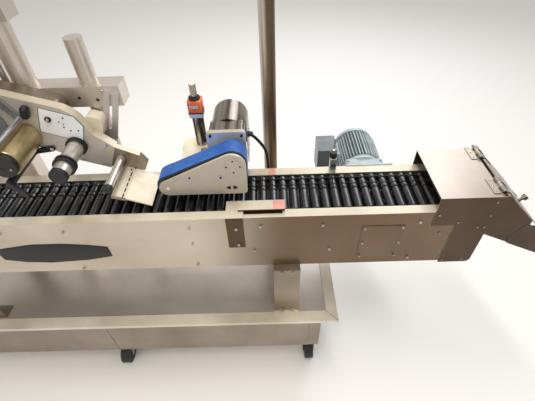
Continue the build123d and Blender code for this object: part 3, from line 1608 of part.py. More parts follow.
# Stand: box arm on a rod and a square column, with the upper arm on its posts
with BuildPart() as head_stand:
    with BuildSketch(Plane.YZ.offset(arm_left_x)):
        with Locations((arm_mid_y, arm_bottom_z + arm_side / 2)):
            Rectangle(arm_side, arm_side)
    extrude(amount=arm_right_x - arm_left_x)
    with BuildSketch(Plane.XY.offset(tray_z)):
        with Locations((rod_x, arm_mid_y)):
            Circle(rod_dia / 2)
    extrude(amount=rod_top_z - tray_z)
    with BuildSketch(Plane.XY.offset(tray_z)):
        with Locations((stand_column_x, arm_mid_y)):
            RectangleRounded(stand_column_side, stand_column_side, 5)
    extrude(amount=arm_bottom_z - tray_z)
    with BuildSketch(Plane.XY.offset(tray_z)):
        with Locations((rod_x, arm_mid_y), (stand_column_x, arm_mid_y)):
            Circle(post_foot_dia / 2)
    extrude(amount=post_foot_thick)
    with BuildSketch(Plane.XY.offset(arm_bottom_z + arm_side)):
        with Locations((left_post_x, arm_mid_y)):
            Circle(left_post_dia / 2)
        with Locations((screw_rod_x, arm_mid_y)):
            Circle(screw_rod_dia / 2)
    extrude(amount=upper_arm_bottom_z - arm_bottom_z - arm_side)
    with BuildSketch(Plane.YZ.offset(upper_arm_left_x)):
        with Locations((arm_mid_y, upper_arm_bottom_z + upper_arm_side / 2)):
            Rectangle(left_post_dia, upper_arm_side)
    extrude(amount=upper_arm_right_x - upper_arm_left_x)
    with BuildSketch(at_y(arm_mid_y)):
        with Locations((unwind_x, upper_arm_bottom_z + upper_arm_side / 2)):
            Circle(reel_axle_dia / 2)
    extrude(amount=arm_mid_y - reel_near_y - reel_axle_inset)
head_stand.part.label = "head_stand"
export_step(head_stand.part, "parts/head_stand.step")

# Label reels: core between two flanges
with BuildPart() as unwind_reel:
    for start, dia, length in (
        (reel_near_y, unwind_flange_dia, reel_flange_thick),
        (reel_near_y, unwind_core_dia, reel_far_y - reel_near_y),
        (reel_far_y - reel_flange_thick, unwind_flange_dia, reel_flange_thick),
    ):
        with BuildSketch(at_y(start + length)):
            with Locations((unwind_x, upper_arm_bottom_z + upper_arm_side / 2)):
                Circle(dia / 2)
        extrude(amount=length)
    with BuildSketch(at_y(reel_far_y)):
        with Locations((unwind_x, upper_arm_bottom_z + upper_arm_side / 2)):
            Circle(reel_axle_dia / 2 + shaft_fit)
    extrude(amount=reel_far_y - reel_near_y - reel_axle_inset + running_gap, mode=Mode.SUBTRACT)
unwind_reel.part.label = "unwind_reel"
export_step(unwind_reel.part, "parts/unwind_reel.step")

with BuildPart() as rewind_reel:
    for start, dia, length in (
        (roller_near_y, rewind_flange_dia, reel_flange_thick),
        (roller_near_y, rewind_core_dia, roller_far_y - roller_near_y),
        (roller_far_y - reel_flange_thick, rewind_flange_dia, reel_flange_thick),
    ):
        with BuildSketch(head_plane(start + length)):
            with Locations((rewind_u, rewind_v)):
                Circle(dia / 2)
        extrude(amount=length)
    with BuildSketch(head_plane(roller_far_y)):
        with Locations((rewind_u, rewind_v)):
            Circle(head_axle_dia / 2 + shaft_fit)
    extrude(amount=axle_reach, mode=Mode.SUBTRACT)
rewind_reel.part.label = "rewind_reel"
export_step(rewind_reel.part, "parts/rewind_reel.step")

# Lead of the press motor: from the side of the motor cover down to the tray behind the conveyor
lead_start_x = gearmotor_x + motor_hood_width / 2
lead_bend_x = lead_start_x + lead_first_run * (1 + math.cos(math.pi / 6))
lead_bend_z = lead_start_z - lead_first_run / 2
lead_fall_x = lead_bend_x + lead_first_run / 2
lead_fall_z = lead_bend_z - lead_first_run * math.cos(math.pi / 6)
lead_middle_z = lead_fall_z - lead_short_drop - lead_middle_drop
lead_long_drop = (lead_middle_z - tray_z) / 3
lead_points = [
    (lead_start_x, lead_y, lead_start_z),
    (lead_start_x + lead_first_run, lead_y, lead_start_z),
    (lead_bend_x, lead_y, lead_bend_z),
    (lead_fall_x, lead_y, lead_fall_z),
    (lead_fall_x, lead_y, lead_fall_z - lead_short_drop),
    (lead_fall_x + lead_sway, lead_y, lead_middle_z),
    (lead_fall_x, lead_y, lead_middle_z - lead_long_drop),
    (lead_fall_x + lead_sway, lead_y, tray_z + lead_long_drop),
    (lead_fall_x + lead_sway, lead_y, tray_z),
]
lead_radii = []
for before, here, after in zip(lead_points, lead_points[1:], lead_points[2:]):
    run_in = Vector(*here) - Vector(*before)
    run_out = Vector(*after) - Vector(*here)
    half_turn = math.radians(run_in.get_angle(run_out)) / 2
    lead_radii.append(0.45 * min(run_in.length, run_out.length) / math.tan(half_turn))
print("lead bend radii", [round(radius, 1) for radius in lead_radii])
with BuildPart() as motor_lead:
    with BuildLine() as lead_line:
        FilletPolyline(*lead_points, radius=lead_radii)
    with BuildSketch(Plane(origin=lead_points[0], z_dir=(1, 0, 0))):
        Circle(lead_dia / 2)
    sweep(path=lead_line.wires()[0])
motor_lead.part.label = "motor_lead"
export_step(motor_lead.part, "parts/motor_lead.step")
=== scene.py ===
import math

import bpy
from mathutils import Euler, Matrix, Vector


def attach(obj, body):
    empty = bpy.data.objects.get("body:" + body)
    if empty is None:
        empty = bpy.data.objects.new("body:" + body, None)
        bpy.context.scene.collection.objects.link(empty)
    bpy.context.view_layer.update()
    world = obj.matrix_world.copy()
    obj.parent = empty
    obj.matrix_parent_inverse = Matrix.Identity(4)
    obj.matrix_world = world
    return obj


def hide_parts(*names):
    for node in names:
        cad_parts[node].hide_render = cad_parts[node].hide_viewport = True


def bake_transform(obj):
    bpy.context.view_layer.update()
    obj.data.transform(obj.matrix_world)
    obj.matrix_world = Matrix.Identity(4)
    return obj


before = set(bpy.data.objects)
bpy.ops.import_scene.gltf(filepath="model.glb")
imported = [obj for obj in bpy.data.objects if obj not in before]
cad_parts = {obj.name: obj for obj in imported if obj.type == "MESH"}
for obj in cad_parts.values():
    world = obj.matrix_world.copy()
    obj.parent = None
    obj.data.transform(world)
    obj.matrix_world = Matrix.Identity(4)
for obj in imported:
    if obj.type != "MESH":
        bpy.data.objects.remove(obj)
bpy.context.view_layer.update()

MM = 0.001

# Places on the machine in millimetres: X to the right, Y to the rear, Z up, u and v on the label head
side_y = -240                  # front face of the conveyor side
hood_y = -242                  # front face of the hood
roller_count, roller_pitch = 55, 25.4
first_roller_x = -665.6
roller_z = 711                 # axes of the carrying rollers
press_y = -181                 # front face of the press plate
belt_y = -126                  # rear edge of the press belt
drive_x, drive_z = 187, 826.5  # cap over the drive roller of the press belt
column_x, column_y = 98, -38   # axis of the column with the indicator and the height knob
counter_z = 904.8              # middle of the counter of the indicator
head_y = -90                   # front face of the label head plate
axle_y = -91                   # where the rollers of the label head begin
knob_u, knob_v = -137, 106     # adjusting knob
drum_u, drum_v = -187, 47      # knurled drum
ringed_u, ringed_v = -78, 49   # ringed roller
plain_u, plain_v = 23.5, 38    # plain roller
motor_x, motor_z = 528.2, 653.93   # axis of the chain motor
pole_x, pole_y = 271, 55       # operator pole
arm_y = -33                    # front face of the box arm of the stand
leg_y = -261                   # front face of the conveyor legs
lead_y = -8                    # the motor lead hangs in this plane


# Colours and materials
def linear(hex_colour):
    """sRGB hex colour as linear RGBA."""
    channels = []
    for start in (0, 2, 4):
        value = int(hex_colour[start:start + 2], 16) / 255
        channels.append(value / 12.92 if value <= 0.04045 else ((value + 0.055) / 1.055) ** 2.4)
    return (*channels, 1.0)


def add_node(tree, kind, inputs=None, **settings):
    """Adds one shader node, sets its properties and sets or links its inputs."""
    made = tree.nodes.new(kind)
    for name, value in settings.items():
        setattr(made, name, value)
    for name, value in (inputs or {}).items():
        if isinstance(value, bpy.types.NodeSocket):
            tree.links.new(value, made.inputs[name])
        else:
            made.inputs[name].default_value = value
    return made


def finish_of(name, colour, metallic, roughness, slot=None, **surface):
    """New material with one shader: its tree, its shader and the object's coordinates."""
    material = bpy.data.materials.new(name)
    material.use_nodes = True
    tree = material.node_tree
    shader = tree.nodes["Principled BSDF"]
    shader.inputs["Base Color"].default_value = linear(colour)
    shader.inputs["Metallic"].default_value = metallic
    shader.inputs["Roughness"].default_value = roughness
    for key, value in surface.items():
        shader.inputs[key.replace("_", " ")].default_value = value
    place = add_node(tree, "ShaderNodeTexCoord").outputs["Object"]
    return material, tree, shader, place


def mottled(tree, place, scale, low, high, stretch=(1, 1, 1)):
    """Colour that wanders between two tones, with spots of about 1/scale metres."""
    mapped = add_node(tree, "ShaderNodeMapping", {"Vector": place, "Scale": stretch}).outputs["Vector"]
    noise = add_node(tree, "ShaderNodeTexNoise", {"Vector": mapped, "Scale": scale, "Detail": 4.0})
    ramp = add_node(tree, "ShaderNodeValToRGB", {"Fac": noise.outputs["Fac"]})
    ramp.color_ramp.elements[0].position = 0.35
    ramp.color_ramp.elements[1].position = 0.65
    ramp.color_ramp.elements[0].color = linear(low)
    ramp.color_ramp.elements[1].color = linear(high)
    return ramp.outputs["Color"], noise.outputs["Fac"]


def brushed_stainless(name, low, high, roughness, along=(1, 1, 1), slot="stainless", metallic=0.85,
                      clouds=5.0, painted_shade=None):
    """Stainless sheet rubbed with a belt: long faint lines stretch the reflections, with handling marks.
    The drift (from X, to X, tone) is painted shade: along the machine the colour darkens by this tone,
    standing in for shade and reflection."""
    material, tree, shader, place = finish_of(name, high, metallic, roughness, slot)
    # Fine clouds are streaks along the polishing lines, which on the arch and the drawn tube are painted
    # reflection, and coarse ones are stains
    colour, _ = mottled(tree, place, clouds, low, high, along if clouds > 20 else (1, 1, 1))
    if painted_shade:
        start, end, grey = painted_shade
        across = add_node(tree, "ShaderNodeSeparateXYZ", {"Vector": place}).outputs["X"]
        fade = add_node(tree, "ShaderNodeMapRange", {"Value": across, "From Min": start * MM,
                                                    "From Max": end * MM}, interpolation_type="SMOOTHSTEP")
        tone = add_node(tree, "ShaderNodeMix", data_type="RGBA", blend_type="MULTIPLY")
        tree.links.new(fade.outputs["Result"], tone.inputs["Factor"])
        tree.links.new(colour, tone.inputs["A"])
        tone.inputs["B"].default_value = linear(grey)
        colour = tone.outputs["Result"]
    lines_at = add_node(tree, "ShaderNodeMapping", {"Vector": place, "Scale": along}).outputs["Vector"]
    # Polishing lines 0.8 mm apart, coarser than real so that they show
    lines = add_node(tree, "ShaderNodeTexNoise", {"Vector": lines_at, "Scale": 1 / (0.8 * MM), "Detail": 2.0})
    rough = add_node(tree, "ShaderNodeMapRange", {"Value": lines.outputs["Fac"], "To Min": roughness - 0.07,
                                                 "To Max": roughness + 0.09})
    bump = add_node(tree, "ShaderNodeBump", {"Height": lines.outputs["Fac"], "Strength": 0.08,
                                             "Distance": 0.02 * MM})
    tree.links.new(colour, shader.inputs["Base Color"])
    tree.links.new(rough.outputs["Result"], shader.inputs["Roughness"])
    tree.links.new(bump.outputs["Normal"], shader.inputs["Normal"])
    return material


def moulded_plastic(name, low, high, roughness, strength=0.1, slot="black_plastic"):
    """Moulded plastic: spark-eroded grit and slight wear of the gloss."""
    material, tree, shader, place = finish_of(name, high, 0.0, roughness, slot)
    colour, cloud = mottled(tree, place, 30.0, low, high)
    # Pits of the mould 1.2 mm apart, coarser than real so that they show
    pits = add_node(tree, "ShaderNodeTexNoise", {"Vector": place, "Scale": 1 / (1.2 * MM), "Detail": 3.0})
    rough = add_node(tree, "ShaderNodeMapRange", {"Value": cloud, "To Min": roughness - 0.08,
                                                 "To Max": roughness + 0.1})
    bump = add_node(tree, "ShaderNodeBump", {"Height": pits.outputs["Fac"], "Strength": strength,
                                             "Distance": 0.05 * MM})
    tree.links.new(colour, shader.inputs["Base Color"])
    tree.links.new(rough.outputs["Result"], shader.inputs["Roughness"])
    tree.links.new(bump.outputs["Normal"], shader.inputs["Normal"])
    return material


def sprayed_paint(name, low, high, roughness, slot="cream_paint"):
    """Sprayed paint: glossy, with an orange-peel ripple 2.5 mm apart and a slightly uneven tone."""
    material, tree, shader, place = finish_of(name, high, 0.0, roughness, slot, Coat_Weight=0.2)
    colour, _ = mottled(tree, place, 25.0, low, high)
    peel = add_node(tree, "ShaderNodeTexNoise", {"Vector": place, "Scale": 1 / (2.5 * MM), "Detail": 1.0})
    bump = add_node(tree, "ShaderNodeBump", {"Height": peel.outputs["Fac"], "Strength": 0.12,
                                             "Distance": 0.1 * MM})
    tree.links.new(colour, shader.inputs["Base Color"])
    tree.links.new(bump.outputs["Normal"], shader.inputs["Normal"])
    return material


def milled_aluminium(name, low, high, roughness, metallic=0.8, slot="anodised"):
    """Aluminium with an anodised skin: soft satin with faint cutter lines 1.5 mm apart."""
    material, tree, shader, place = finish_of(name, high, metallic, roughness, slot)
    colour, _ = mottled(tree, place, 18.0, low, high)
    cuts = add_node(tree, "ShaderNodeTexWave", {"Vector": place, "Scale": 1 / (1.5 * MM), "Distortion": 0.6,
                                                "Detail": 1.0})
    bump = add_node(tree, "ShaderNodeBump", {"Height": cuts.outputs["Fac"], "Strength": 0.05,
                                             "Distance": 0.03 * MM})
    tree.links.new(colour, shader.inputs["Base Color"])
    tree.links.new(bump.outputs["Normal"], shader.inputs["Normal"])
    return material


def woven_belt(name, low, high):
    """Polyurethane belt on a fabric: matt blue with a fine cross weave 1.5 mm apart showing through."""
    material, tree, shader, place = finish_of(name, high, 0.0, 0.5, "blue_belt", Sheen_Weight=0.1)
    colour, _ = mottled(tree, place, 40.0, low, high)
    threads = add_node(tree, "ShaderNodeTexVoronoi", {"Vector": place, "Scale": 1 / (1.5 * MM)})
    bump = add_node(tree, "ShaderNodeBump", {"Height": threads.outputs["Distance"], "Strength": 0.15,
                                             "Distance": 0.1 * MM})
    tree.links.new(colour, shader.inputs["Base Color"])
    tree.links.new(bump.outputs["Normal"], shader.inputs["Normal"])
    return material


# Rolled sheet of the table and cabinet: lines run along the machine
stainless_table = brushed_stainless("brushed_stainless_table", "cdc4b8", "e2dacf", 0.34, along=(0.02, 1, 1))
# Front side of the conveyor: the same sheet, darker at its right half by a painted reflection of the room
stainless_side = brushed_stainless("brushed_stainless_side", "c0b4a6", "d2c6b8", 0.34, along=(0.02, 1, 1),
                                   painted_shade=(60, 320, "978777"))
# Lit copy of the sheet: painted highlight on the rails on top of the conveyor sides and on upward faces and
# edges elsewhere
stainless_lit_tops = brushed_stainless("brushed_stainless_lit_tops", "bfb59f", "e2d9c6", 0.42, along=(0.02, 1, 1),
                                   metallic=0.4)
# Sheet that looks to the front on the hood, the chute and the brackets: the same stock in shade
stainless_shade = brushed_stainless("brushed_stainless_shade", "47392c", "5b4939", 0.3, along=(1, 0.02, 1))
# Tube of the operator pole: lines run up, and the side away from the light is darker
stainless_up = brushed_stainless("brushed_stainless_up", "c3b9ac", "d6cdc1", 0.3, along=(1, 1, 0.02),
                                 painted_shade=(262, 272, "8a7865"))
# Folded sheet of the legs, cabinet fronts, head housing and peel arm, which stand in shade
stainless_low = brushed_stainless("brushed_stainless_low", "897d70", "a39789", 0.32, along=(1, 1, 0.02))
# Arched sheet over the press motor: lines run to the rear, and its dark tone and pale streaks are painted
# reflection
stainless_arch = brushed_stainless("brushed_stainless_arch", "5f564c", "a39a8e", 0.26, along=(1, 0.03, 0.4),
                                   clouds=90.0)
# Sheet of the hood and chute, and painted shade on the fronts of the stand: lines run across the machine
stainless_cross = brushed_stainless("brushed_stainless_cross", "b3a99b", "cac1b4", 0.34, along=(1, 0.02, 1),
                                    metallic=0.7)
# Lid of the hood: the same sheet, painted darker as shade on the steeper face
stainless_lid = brushed_stainless("brushed_stainless_lid", "948b82", "ada49a", 0.34, along=(1, 0.02, 1),
                                  metallic=0.7)
# Head plates: bead-blasted and pale
stainless_head = brushed_stainless("blasted_stainless_head", "c6bfb5", "d8d1c7", 0.42, along=(0.3, 1, 1),
                                   metallic=0.55)
# Ground plates of the press unit
stainless_press = brushed_stainless("ground_stainless_press", "b0a79c", "c0b8ad", 0.38, along=(0.05, 1, 1),
                                    metallic=0.6)
# Turned steel of shafts, pins and screws
turned_steel = brushed_stainless("turned_steel", "a2a4a6", "cfd0d0", 0.28, slot="zinc_steel")
# Blackened steel of screws, and painted shade in slots and holes: dull and dark
dark_steel_and_hole_shade = brushed_stainless("blackened_steel_and_hole_shade", "26262a", "3a3a3e", 0.4, slot="zinc_steel")
# Black acetal of the rollers: smooth with a long narrow highlight
black_acetal = moulded_plastic("black_acetal", "161617", "242425", 0.2, strength=0.02)
black_acetal.node_tree.nodes["Principled BSDF"].inputs["Specular IOR Level"].default_value = 1.0
# Black nylon of casters, knobs, caps and links: satin
black_nylon = moulded_plastic("black_nylon", "121214", "1e1f22", 0.5)
# Grey plastic of the reels and the screen frame
grey_abs = moulded_plastic("grey_abs", "75797d", "7f8387", 0.45, slot="grey_plastic")
# Orange plastic of the position indicator
orange_plastic = moulded_plastic("orange_abs", "c8501f", "e8703a", 0.34, strength=0.05,
                                 slot="orange_plastic")
# White digit wheels of the counter
white_plastic = moulded_plastic("white_digit_plastic", "dcdcd8", "efeeea", 0.4, slot="grey_plastic")
# Red plastic of the emergency stop
red_plastic = moulded_plastic("red_abs", "a81712", "c4211a", 0.3, strength=0.04, slot="red_plastic")
# Yellow plastic of the collar under the emergency stop and the sight dot
yellow_plastic = moulded_plastic("yellow_plastic", "d9a90f", "eebf1e", 0.35, strength=0.04,
                                 slot="orange_plastic")
# Glass of the screen: black and glossy
screen_glass = moulded_plastic("screen_glass", "0c1014", "141a20", 0.1, strength=0.0)
# Blue-grey painted motor
motor_paint = sprayed_paint("blue_grey_motor_paint", "9aaaaf", "b4c1c5", 0.42, slot="blue_grey_paint")
# The same paint, painted dark as shade in the roots between the fins
shaded_motor_paint = sprayed_paint("shaded_motor_paint", "3d474a", "4f5a5d", 0.6, slot="blue_grey_paint")
# Darker paint of the terminal box on the motor
terminal_paint = sprayed_paint("dark_motor_paint", "4c5558", "5e686c", 0.34, slot="blue_grey_paint")
# Cream enamel of the peel plate, the slide block and the small caps
cream_paint = sprayed_paint("cream_enamel", "d8ceb7", "e9e1cd", 0.4)
# Printed sheet of the control field: white with a satin face
printed_white = sprayed_paint("satin_white_sheet", "efeef4", "faf9fd", 0.35)
# Green printed border of the control field
printed_green = sprayed_paint("printed_green", "3f7d62", "4d8c70", 0.4)
# Faded red marking paint on the rail and the stop bar
marking_red = sprayed_paint("faded_marking_red", "cf8a7c", "e0a294", 0.6, slot="red_plastic")
# Anodised aluminium of flanges and blocks
anodised = milled_aluminium("anodised_aluminium", "b0bbd6", "c9d3ea", 0.4, metallic=0.35)
# Bright turned aluminium of the rollers
roller_aluminium = milled_aluminium("bright_roller_aluminium", "b9b4aa", "ddd8ce", 0.3)
# Knurled drum: turned, with a brass tone
drum_brass = milled_aluminium("knurled_brass", "9c8a66", "c6b386", 0.34, slot="brass_drum")
# Blue transport belt
blue_belt = woven_belt("blue_polyurethane_belt", "154f9e", "1f60b4")
# Black rubber of the lead and the belt core
lead_rubber = moulded_plastic("nitrile_rubber", "0c0c0e", "161618", 0.55, slot="black_rubber")
# Black coated sheet of the bare plate on the conveyor front
black_sheet = moulded_plastic("black_coated_sheet", "0e0e10", "17171a", 0.5, slot="black_plastic")
# Knurled steel of the height knob: warm, with darker roots
knob_steel = brushed_stainless("knurled_steel", "a79e92", "d8d0c4", 0.34, slot="zinc_steel", metallic=0.7)
# Silver grey steel of the slotted hanger
hanger_steel = brushed_stainless("silver_steel", "b7b1ad", "cbc6c2", 0.36, along=(1, 1, 0.05),
                                 slot="zinc_steel", metallic=0.5)
# Drawn tube: the dark and light streaks along it are painted reflection
drawn_tube = brushed_stainless("drawn_steel_tube", "453d35", "d9d4cb", 0.16, along=(1, 1, 0.02),
                               slot="zinc_steel", metallic=1.0, clouds=70.0)

# Dressing of the carried-over pieces
dressed = {
    stainless_table: ["cabinet_shell", "table_top", "head_stand", "operator_box", "conveyor_rear_side"],
    stainless_side: ["conveyor_front_side"],
    stainless_press: ["press_frame"],
    stainless_lit_tops: ["bottle_stop"],
    stainless_arch: ["press_motor_cover"],
    stainless_low: ["conveyor_legs", "cabinet_panels", "head_housing", "peel_arm"],
    stainless_up: ["operator_pole"],
    stainless_lid: ["outfeed_lid"],
    stainless_cross: ["outfeed_hood", "outfeed_chute"],
    stainless_head: ["head_plate"],
    turned_steel: ["caster_plates", "shaft_bearings", "drive_wheels", "dancer_arm"],
    drawn_tube: ["height_column"],
    black_acetal: ["top_chain", "return_chain", "head_wheels", "tail_wheels", "roller_track",
                   "press_drive_roller", "press_nose_roller", "press_low_roller"],
    black_nylon: ["head_knob", "nip_arm", "head_motor"],
    motor_paint: ["chain_motor", "chain_gearbox"],
    blue_belt: ["press_belt"],
    anodised: ["press_gearmotor", "height_knob"],
    roller_aluminium: ["ringed_roller", "plain_roller"],
    cream_paint: ["peel_plate", "slide_block", "head_hanger"],
    orange_plastic: ["position_indicator"],
    drum_brass: ["knurled_drum"],
    grey_abs: ["unwind_reel", "rewind_reel"],
    red_plastic: ["emergency_stop"],
    lead_rubber: ["motor_lead"],
}
dressed[black_nylon] += [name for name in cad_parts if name.startswith(("caster_wheel", "caster_fork"))]
for material, names in dressed.items():
    for name in names:
        cad_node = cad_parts[name]
        cad_node.data.materials.clear()
        cad_node.data.materials.append(material)
        for polygon in cad_node.data.polygons:
            polygon.material_index = 0


def faced(name, material, pick):
    """Gives another finish to the faces of a carried-over piece that pick chooses."""
    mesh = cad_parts[name].data
    mesh.materials.append(material)
    for polygon in mesh.polygons:
        if pick(polygon):
            polygon.material_index = len(mesh.materials) - 1


# Painted highlight on the rails on top of the conveyor sides, and painted shade on the fronts
for name in ("conveyor_front_side", "conveyor_rear_side"):
    faced(name, stainless_lit_tops, lambda face: face.normal.z > 0.9 and face.center.z > 720 * MM)
for name in ("outfeed_hood", "outfeed_lid", "outfeed_chute", "bottle_stop"):
    faced(name, stainless_shade, lambda face: face.normal.y < -0.7)
for name in ("conveyor_legs", "cabinet_shell"):
    faced(name, stainless_low, lambda face: face.normal.y < -0.7)
# Painted highlight on the upward faces of the table's rolled edge
faced("table_top", stainless_lit_tops, lambda face: face.normal.z > 0.9 and face.center.z > 344 * MM)
# Painted highlight on the edge of the press front plate; the gearhead behind its bluish flange in the arch's
# sheet with its painted reflection, and a painted highlight on the flange's top
faced("press_frame", stainless_lit_tops, lambda face: abs(face.normal.y) < 0.5 and face.center.y < -174 * MM)
faced("press_gearmotor", stainless_arch, lambda face: face.center.y > -100 * MM)
faced("press_gearmotor", stainless_lit_tops, lambda face: face.normal.z > 0.9 and face.center.y < -100.5 * MM)
# Painted highlight on the upward rims of the label head plate and the peel arm; the pale hanger and the cap
# of the column
faced("head_plate", stainless_lit_tops, lambda face: abs(face.normal.y) < 0.5 and face.normal.z > 0.2)
faced("peel_arm", stainless_lit_tops, lambda face: face.normal.z > 0.5)
faced("head_hanger", hanger_steel, lambda face: face.center.y > -38 * MM)
faced("height_column", anodised, lambda face: face.center.z > 875.5 * MM)
# Arms of the stand look to the front in shade
faced("head_stand", stainless_cross, lambda face: face.normal.y < -0.9 and face.center.z > 880 * MM)
# Darker terminal box at the left of the motor, and the roots between the fins, which lie in shade
faced("chain_motor", terminal_paint, lambda face: face.center.x < 464.5 * MM)
faced("chain_motor", shaded_motor_paint, lambda face: 50 < math.hypot(
    face.center.x / MM - motor_x, face.center.z / MM - motor_z) < 56 and abs(face.normal.y) < 0.5)


# Camera at the place from which the photograph was taken
camera_data = bpy.data.cameras.new("photo_camera")
camera_data.lens = 24.91
camera_data.sensor_width = 36
camera = bpy.data.objects.new("photo_camera", camera_data)
bpy.context.scene.collection.objects.link(camera)
camera.location = (0.270, -0.823, 1.341)
camera.rotation_euler = Euler((math.radians(45.919), math.radians(1.670), math.radians(-0.757)), "XYZ")
bpy.context.scene.camera = camera


# Tools: every new piece starts from a primitive, and its sizes are in millimetres
def started(name):
    """The primitive just added, under its name."""
    piece = bpy.context.object
    piece.name = name
    piece.data.name = name
    return piece


def turned(name, rings, sides):
    """Turned piece along Z from rings of (height, radius), closed at both ends."""
    bpy.ops.object.select_all(action="DESELECT")
    height, radius = rings[0]
    bpy.ops.mesh.primitive_circle_add(vertices=sides, radius=radius * MM, fill_type="NGON")
    piece = started(name)
    piece.data.transform(Matrix.Translation((0, 0, height * MM)))
    bpy.ops.object.mode_set(mode="EDIT")
    bpy.ops.mesh.select_all(action="SELECT")
    for next_height, next_radius in rings[1:]:
        step = (0, 0, (next_height - height) * MM)
        bpy.ops.mesh.extrude_region_move(TRANSFORM_OT_translate={"value": step})
        growth = next_radius / radius
        bpy.ops.transform.resize(value=(growth, growth, 1))
        height, radius = next_height, next_radius
    bpy.ops.mesh.select_all(action="SELECT")
    bpy.ops.mesh.normals_make_consistent(inside=False)
    bpy.ops.object.mode_set(mode="OBJECT")
    return piece


def softened(piece, width, segments=2):
    """Rounds the sharp edges of a piece by this many millimetres."""
    bevel = piece.modifiers.new("edges", "BEVEL")
    bevel.width = width * MM
    bevel.segments = segments
    bevel.limit_method = "ANGLE"
    bevel.angle_limit = math.radians(35)
    bpy.ops.object.select_all(action="DESELECT")
    piece.select_set(True)
    bpy.context.view_layer.objects.active = piece
    bpy.ops.object.modifier_apply(modifier="edges")
    return piece


def block(name, low, high, edge=1.0, segments=2):
    """Block between two corners with rounded edges."""
    bpy.ops.object.select_all(action="DESELECT")
    bpy.ops.mesh.primitive_cube_add(size=1)
    piece = started(name)
    size = [(b - a) * MM for a, b in zip(low, high)]
    middle = [(a + b) / 2 * MM for a, b in zip(low, high)]
    piece.data.transform(Matrix.Translation(middle) @ Matrix.Diagonal((*size, 1)))
    return softened(piece, edge, segments)


def plate(name, outline, thick, edge=0.4, rise=0.0):
    """Flat piece with this outline in X and Y, from Z = rise up by its thickness."""
    bpy.ops.object.select_all(action="DESELECT")
    bpy.ops.mesh.primitive_circle_add(vertices=len(outline), radius=MM, fill_type="NGON")
    piece = started(name)
    for vertex, (x, y) in zip(piece.data.vertices, outline):
        vertex.co = (x * MM, y * MM, rise * MM)
    bpy.ops.object.mode_set(mode="EDIT")
    bpy.ops.mesh.select_all(action="SELECT")
    bpy.ops.mesh.extrude_region_move(TRANSFORM_OT_translate={"value": (0, 0, thick * MM)})
    bpy.ops.mesh.select_all(action="SELECT")
    bpy.ops.mesh.normals_make_consistent(inside=False)
    bpy.ops.object.mode_set(mode="OBJECT")
    return softened(piece, edge) if edge else piece


def band(name, outer, inner, thick, edge=0.0):
    """Closed ring between two outlines with as many points each, up from Z = 0 by its thickness."""
    bpy.ops.object.select_all(action="DESELECT")
    bpy.ops.mesh.primitive_circle_add(vertices=len(outer), radius=MM, fill_type="NOTHING")
    piece = started(name)
    for vertex, (x, y) in zip(piece.data.vertices, outer):
        vertex.co = (x * MM, y * MM, 0)
    bpy.ops.object.mode_set(mode="EDIT")
    bpy.ops.mesh.select_all(action="SELECT")
    bpy.ops.mesh.extrude_edges_move(TRANSFORM_OT_translate={"value": (0, 0, 0)})
    bpy.ops.object.mode_set(mode="OBJECT")
    for vertex, (x, y) in zip(list(piece.data.vertices)[len(outer):], inner):
        vertex.co = (x * MM, y * MM, 0)
    bpy.ops.object.mode_set(mode="EDIT")
    bpy.ops.mesh.select_all(action="SELECT")
    bpy.ops.mesh.extrude_region_move(TRANSFORM_OT_translate={"value": (0, 0, thick * MM)})
    bpy.ops.mesh.select_all(action="SELECT")
    bpy.ops.mesh.normals_make_consistent(inside=False)
    bpy.ops.object.mode_set(mode="OBJECT")
    return softened(piece, edge) if edge else piece


def rounded(width, depth, radius, steps=4, middle=(0, 0)):
    """Outline of a rectangle with round corners."""
    points = []
    for quarter in range(4):
        corner_x = (width / 2 - radius) * (1, -1, -1, 1)[quarter] + middle[0]
        corner_y = (depth / 2 - radius) * (1, 1, -1, -1)[quarter] + middle[1]
        for step in range(steps + 1):
            angle = math.radians(90 * (quarter + step / steps))
            points.append((corner_x + radius * math.cos(angle), corner_y + radius * math.sin(angle)))
    return points


def hull(circles, steps):
    """Outline stretched round discs of (x, y, radius), one point for each direction it faces."""
    points = []
    for step in range(steps):
        angle = math.tau * step / steps
        way = Vector((math.cos(angle), math.sin(angle)))
        x, y, radius = max(circles, key=lambda disc: disc[0] * way.x + disc[1] * way.y + disc[2])
        points.append((x + radius * way.x, y + radius * way.y))
    return points


def moved(piece, place):
    """Puts the mesh of a piece in its place."""
    piece.data.transform(place)
    piece.data.update()
    return piece


def copy_of(piece, name, place):
    """Another of the same piece, with its own mesh, in its own place."""
    mesh = piece.data.copy()
    mesh.name = name
    twin = bpy.data.objects.new(name, mesh)
    bpy.context.scene.collection.objects.link(twin)
    return moved(twin, place)


def done(piece, material, body, smooth=35):
    """Finish, edge shading and body of a piece."""
    piece.data.materials.clear()
    piece.data.materials.append(material)
    bpy.ops.object.select_all(action="DESELECT")
    piece.select_set(True)
    bpy.context.view_layer.objects.active = piece
    bpy.ops.object.shade_smooth_by_angle(angle=math.radians(smooth))
    if body:
        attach(piece, body)
    return piece


def put(piece, place, material, body, smooth=35):
    """Moves a piece to its place and finishes it."""
    return done(moved(piece, place), material, body, smooth)


def dropped(piece):
    """Removes a pattern piece once its copies are made."""
    bpy.data.objects.remove(piece, do_unlink=True)


def at(x, y, z, turn=None):
    """Place in millimetres, with a turn."""
    place = Matrix.Translation((x * MM, y * MM, z * MM))
    return place @ turn if turn is not None else place


TO_FRONT = Matrix.Rotation(math.radians(90), 4, "X")
TO_REAR = Matrix.Rotation(math.radians(-90), 4, "X")
TO_RIGHT = Matrix.Rotation(math.radians(90), 4, "Y")
TURNED_BACK = Matrix.Rotation(math.pi, 4, "Y")
# Outline drawn with X to the rear and Y up, and its thickness to the right
TO_SIDE = Matrix(((0, 0, 1, 0), (1, 0, 0, 0), (0, 1, 0, 0), (0, 0, 0, 1)))
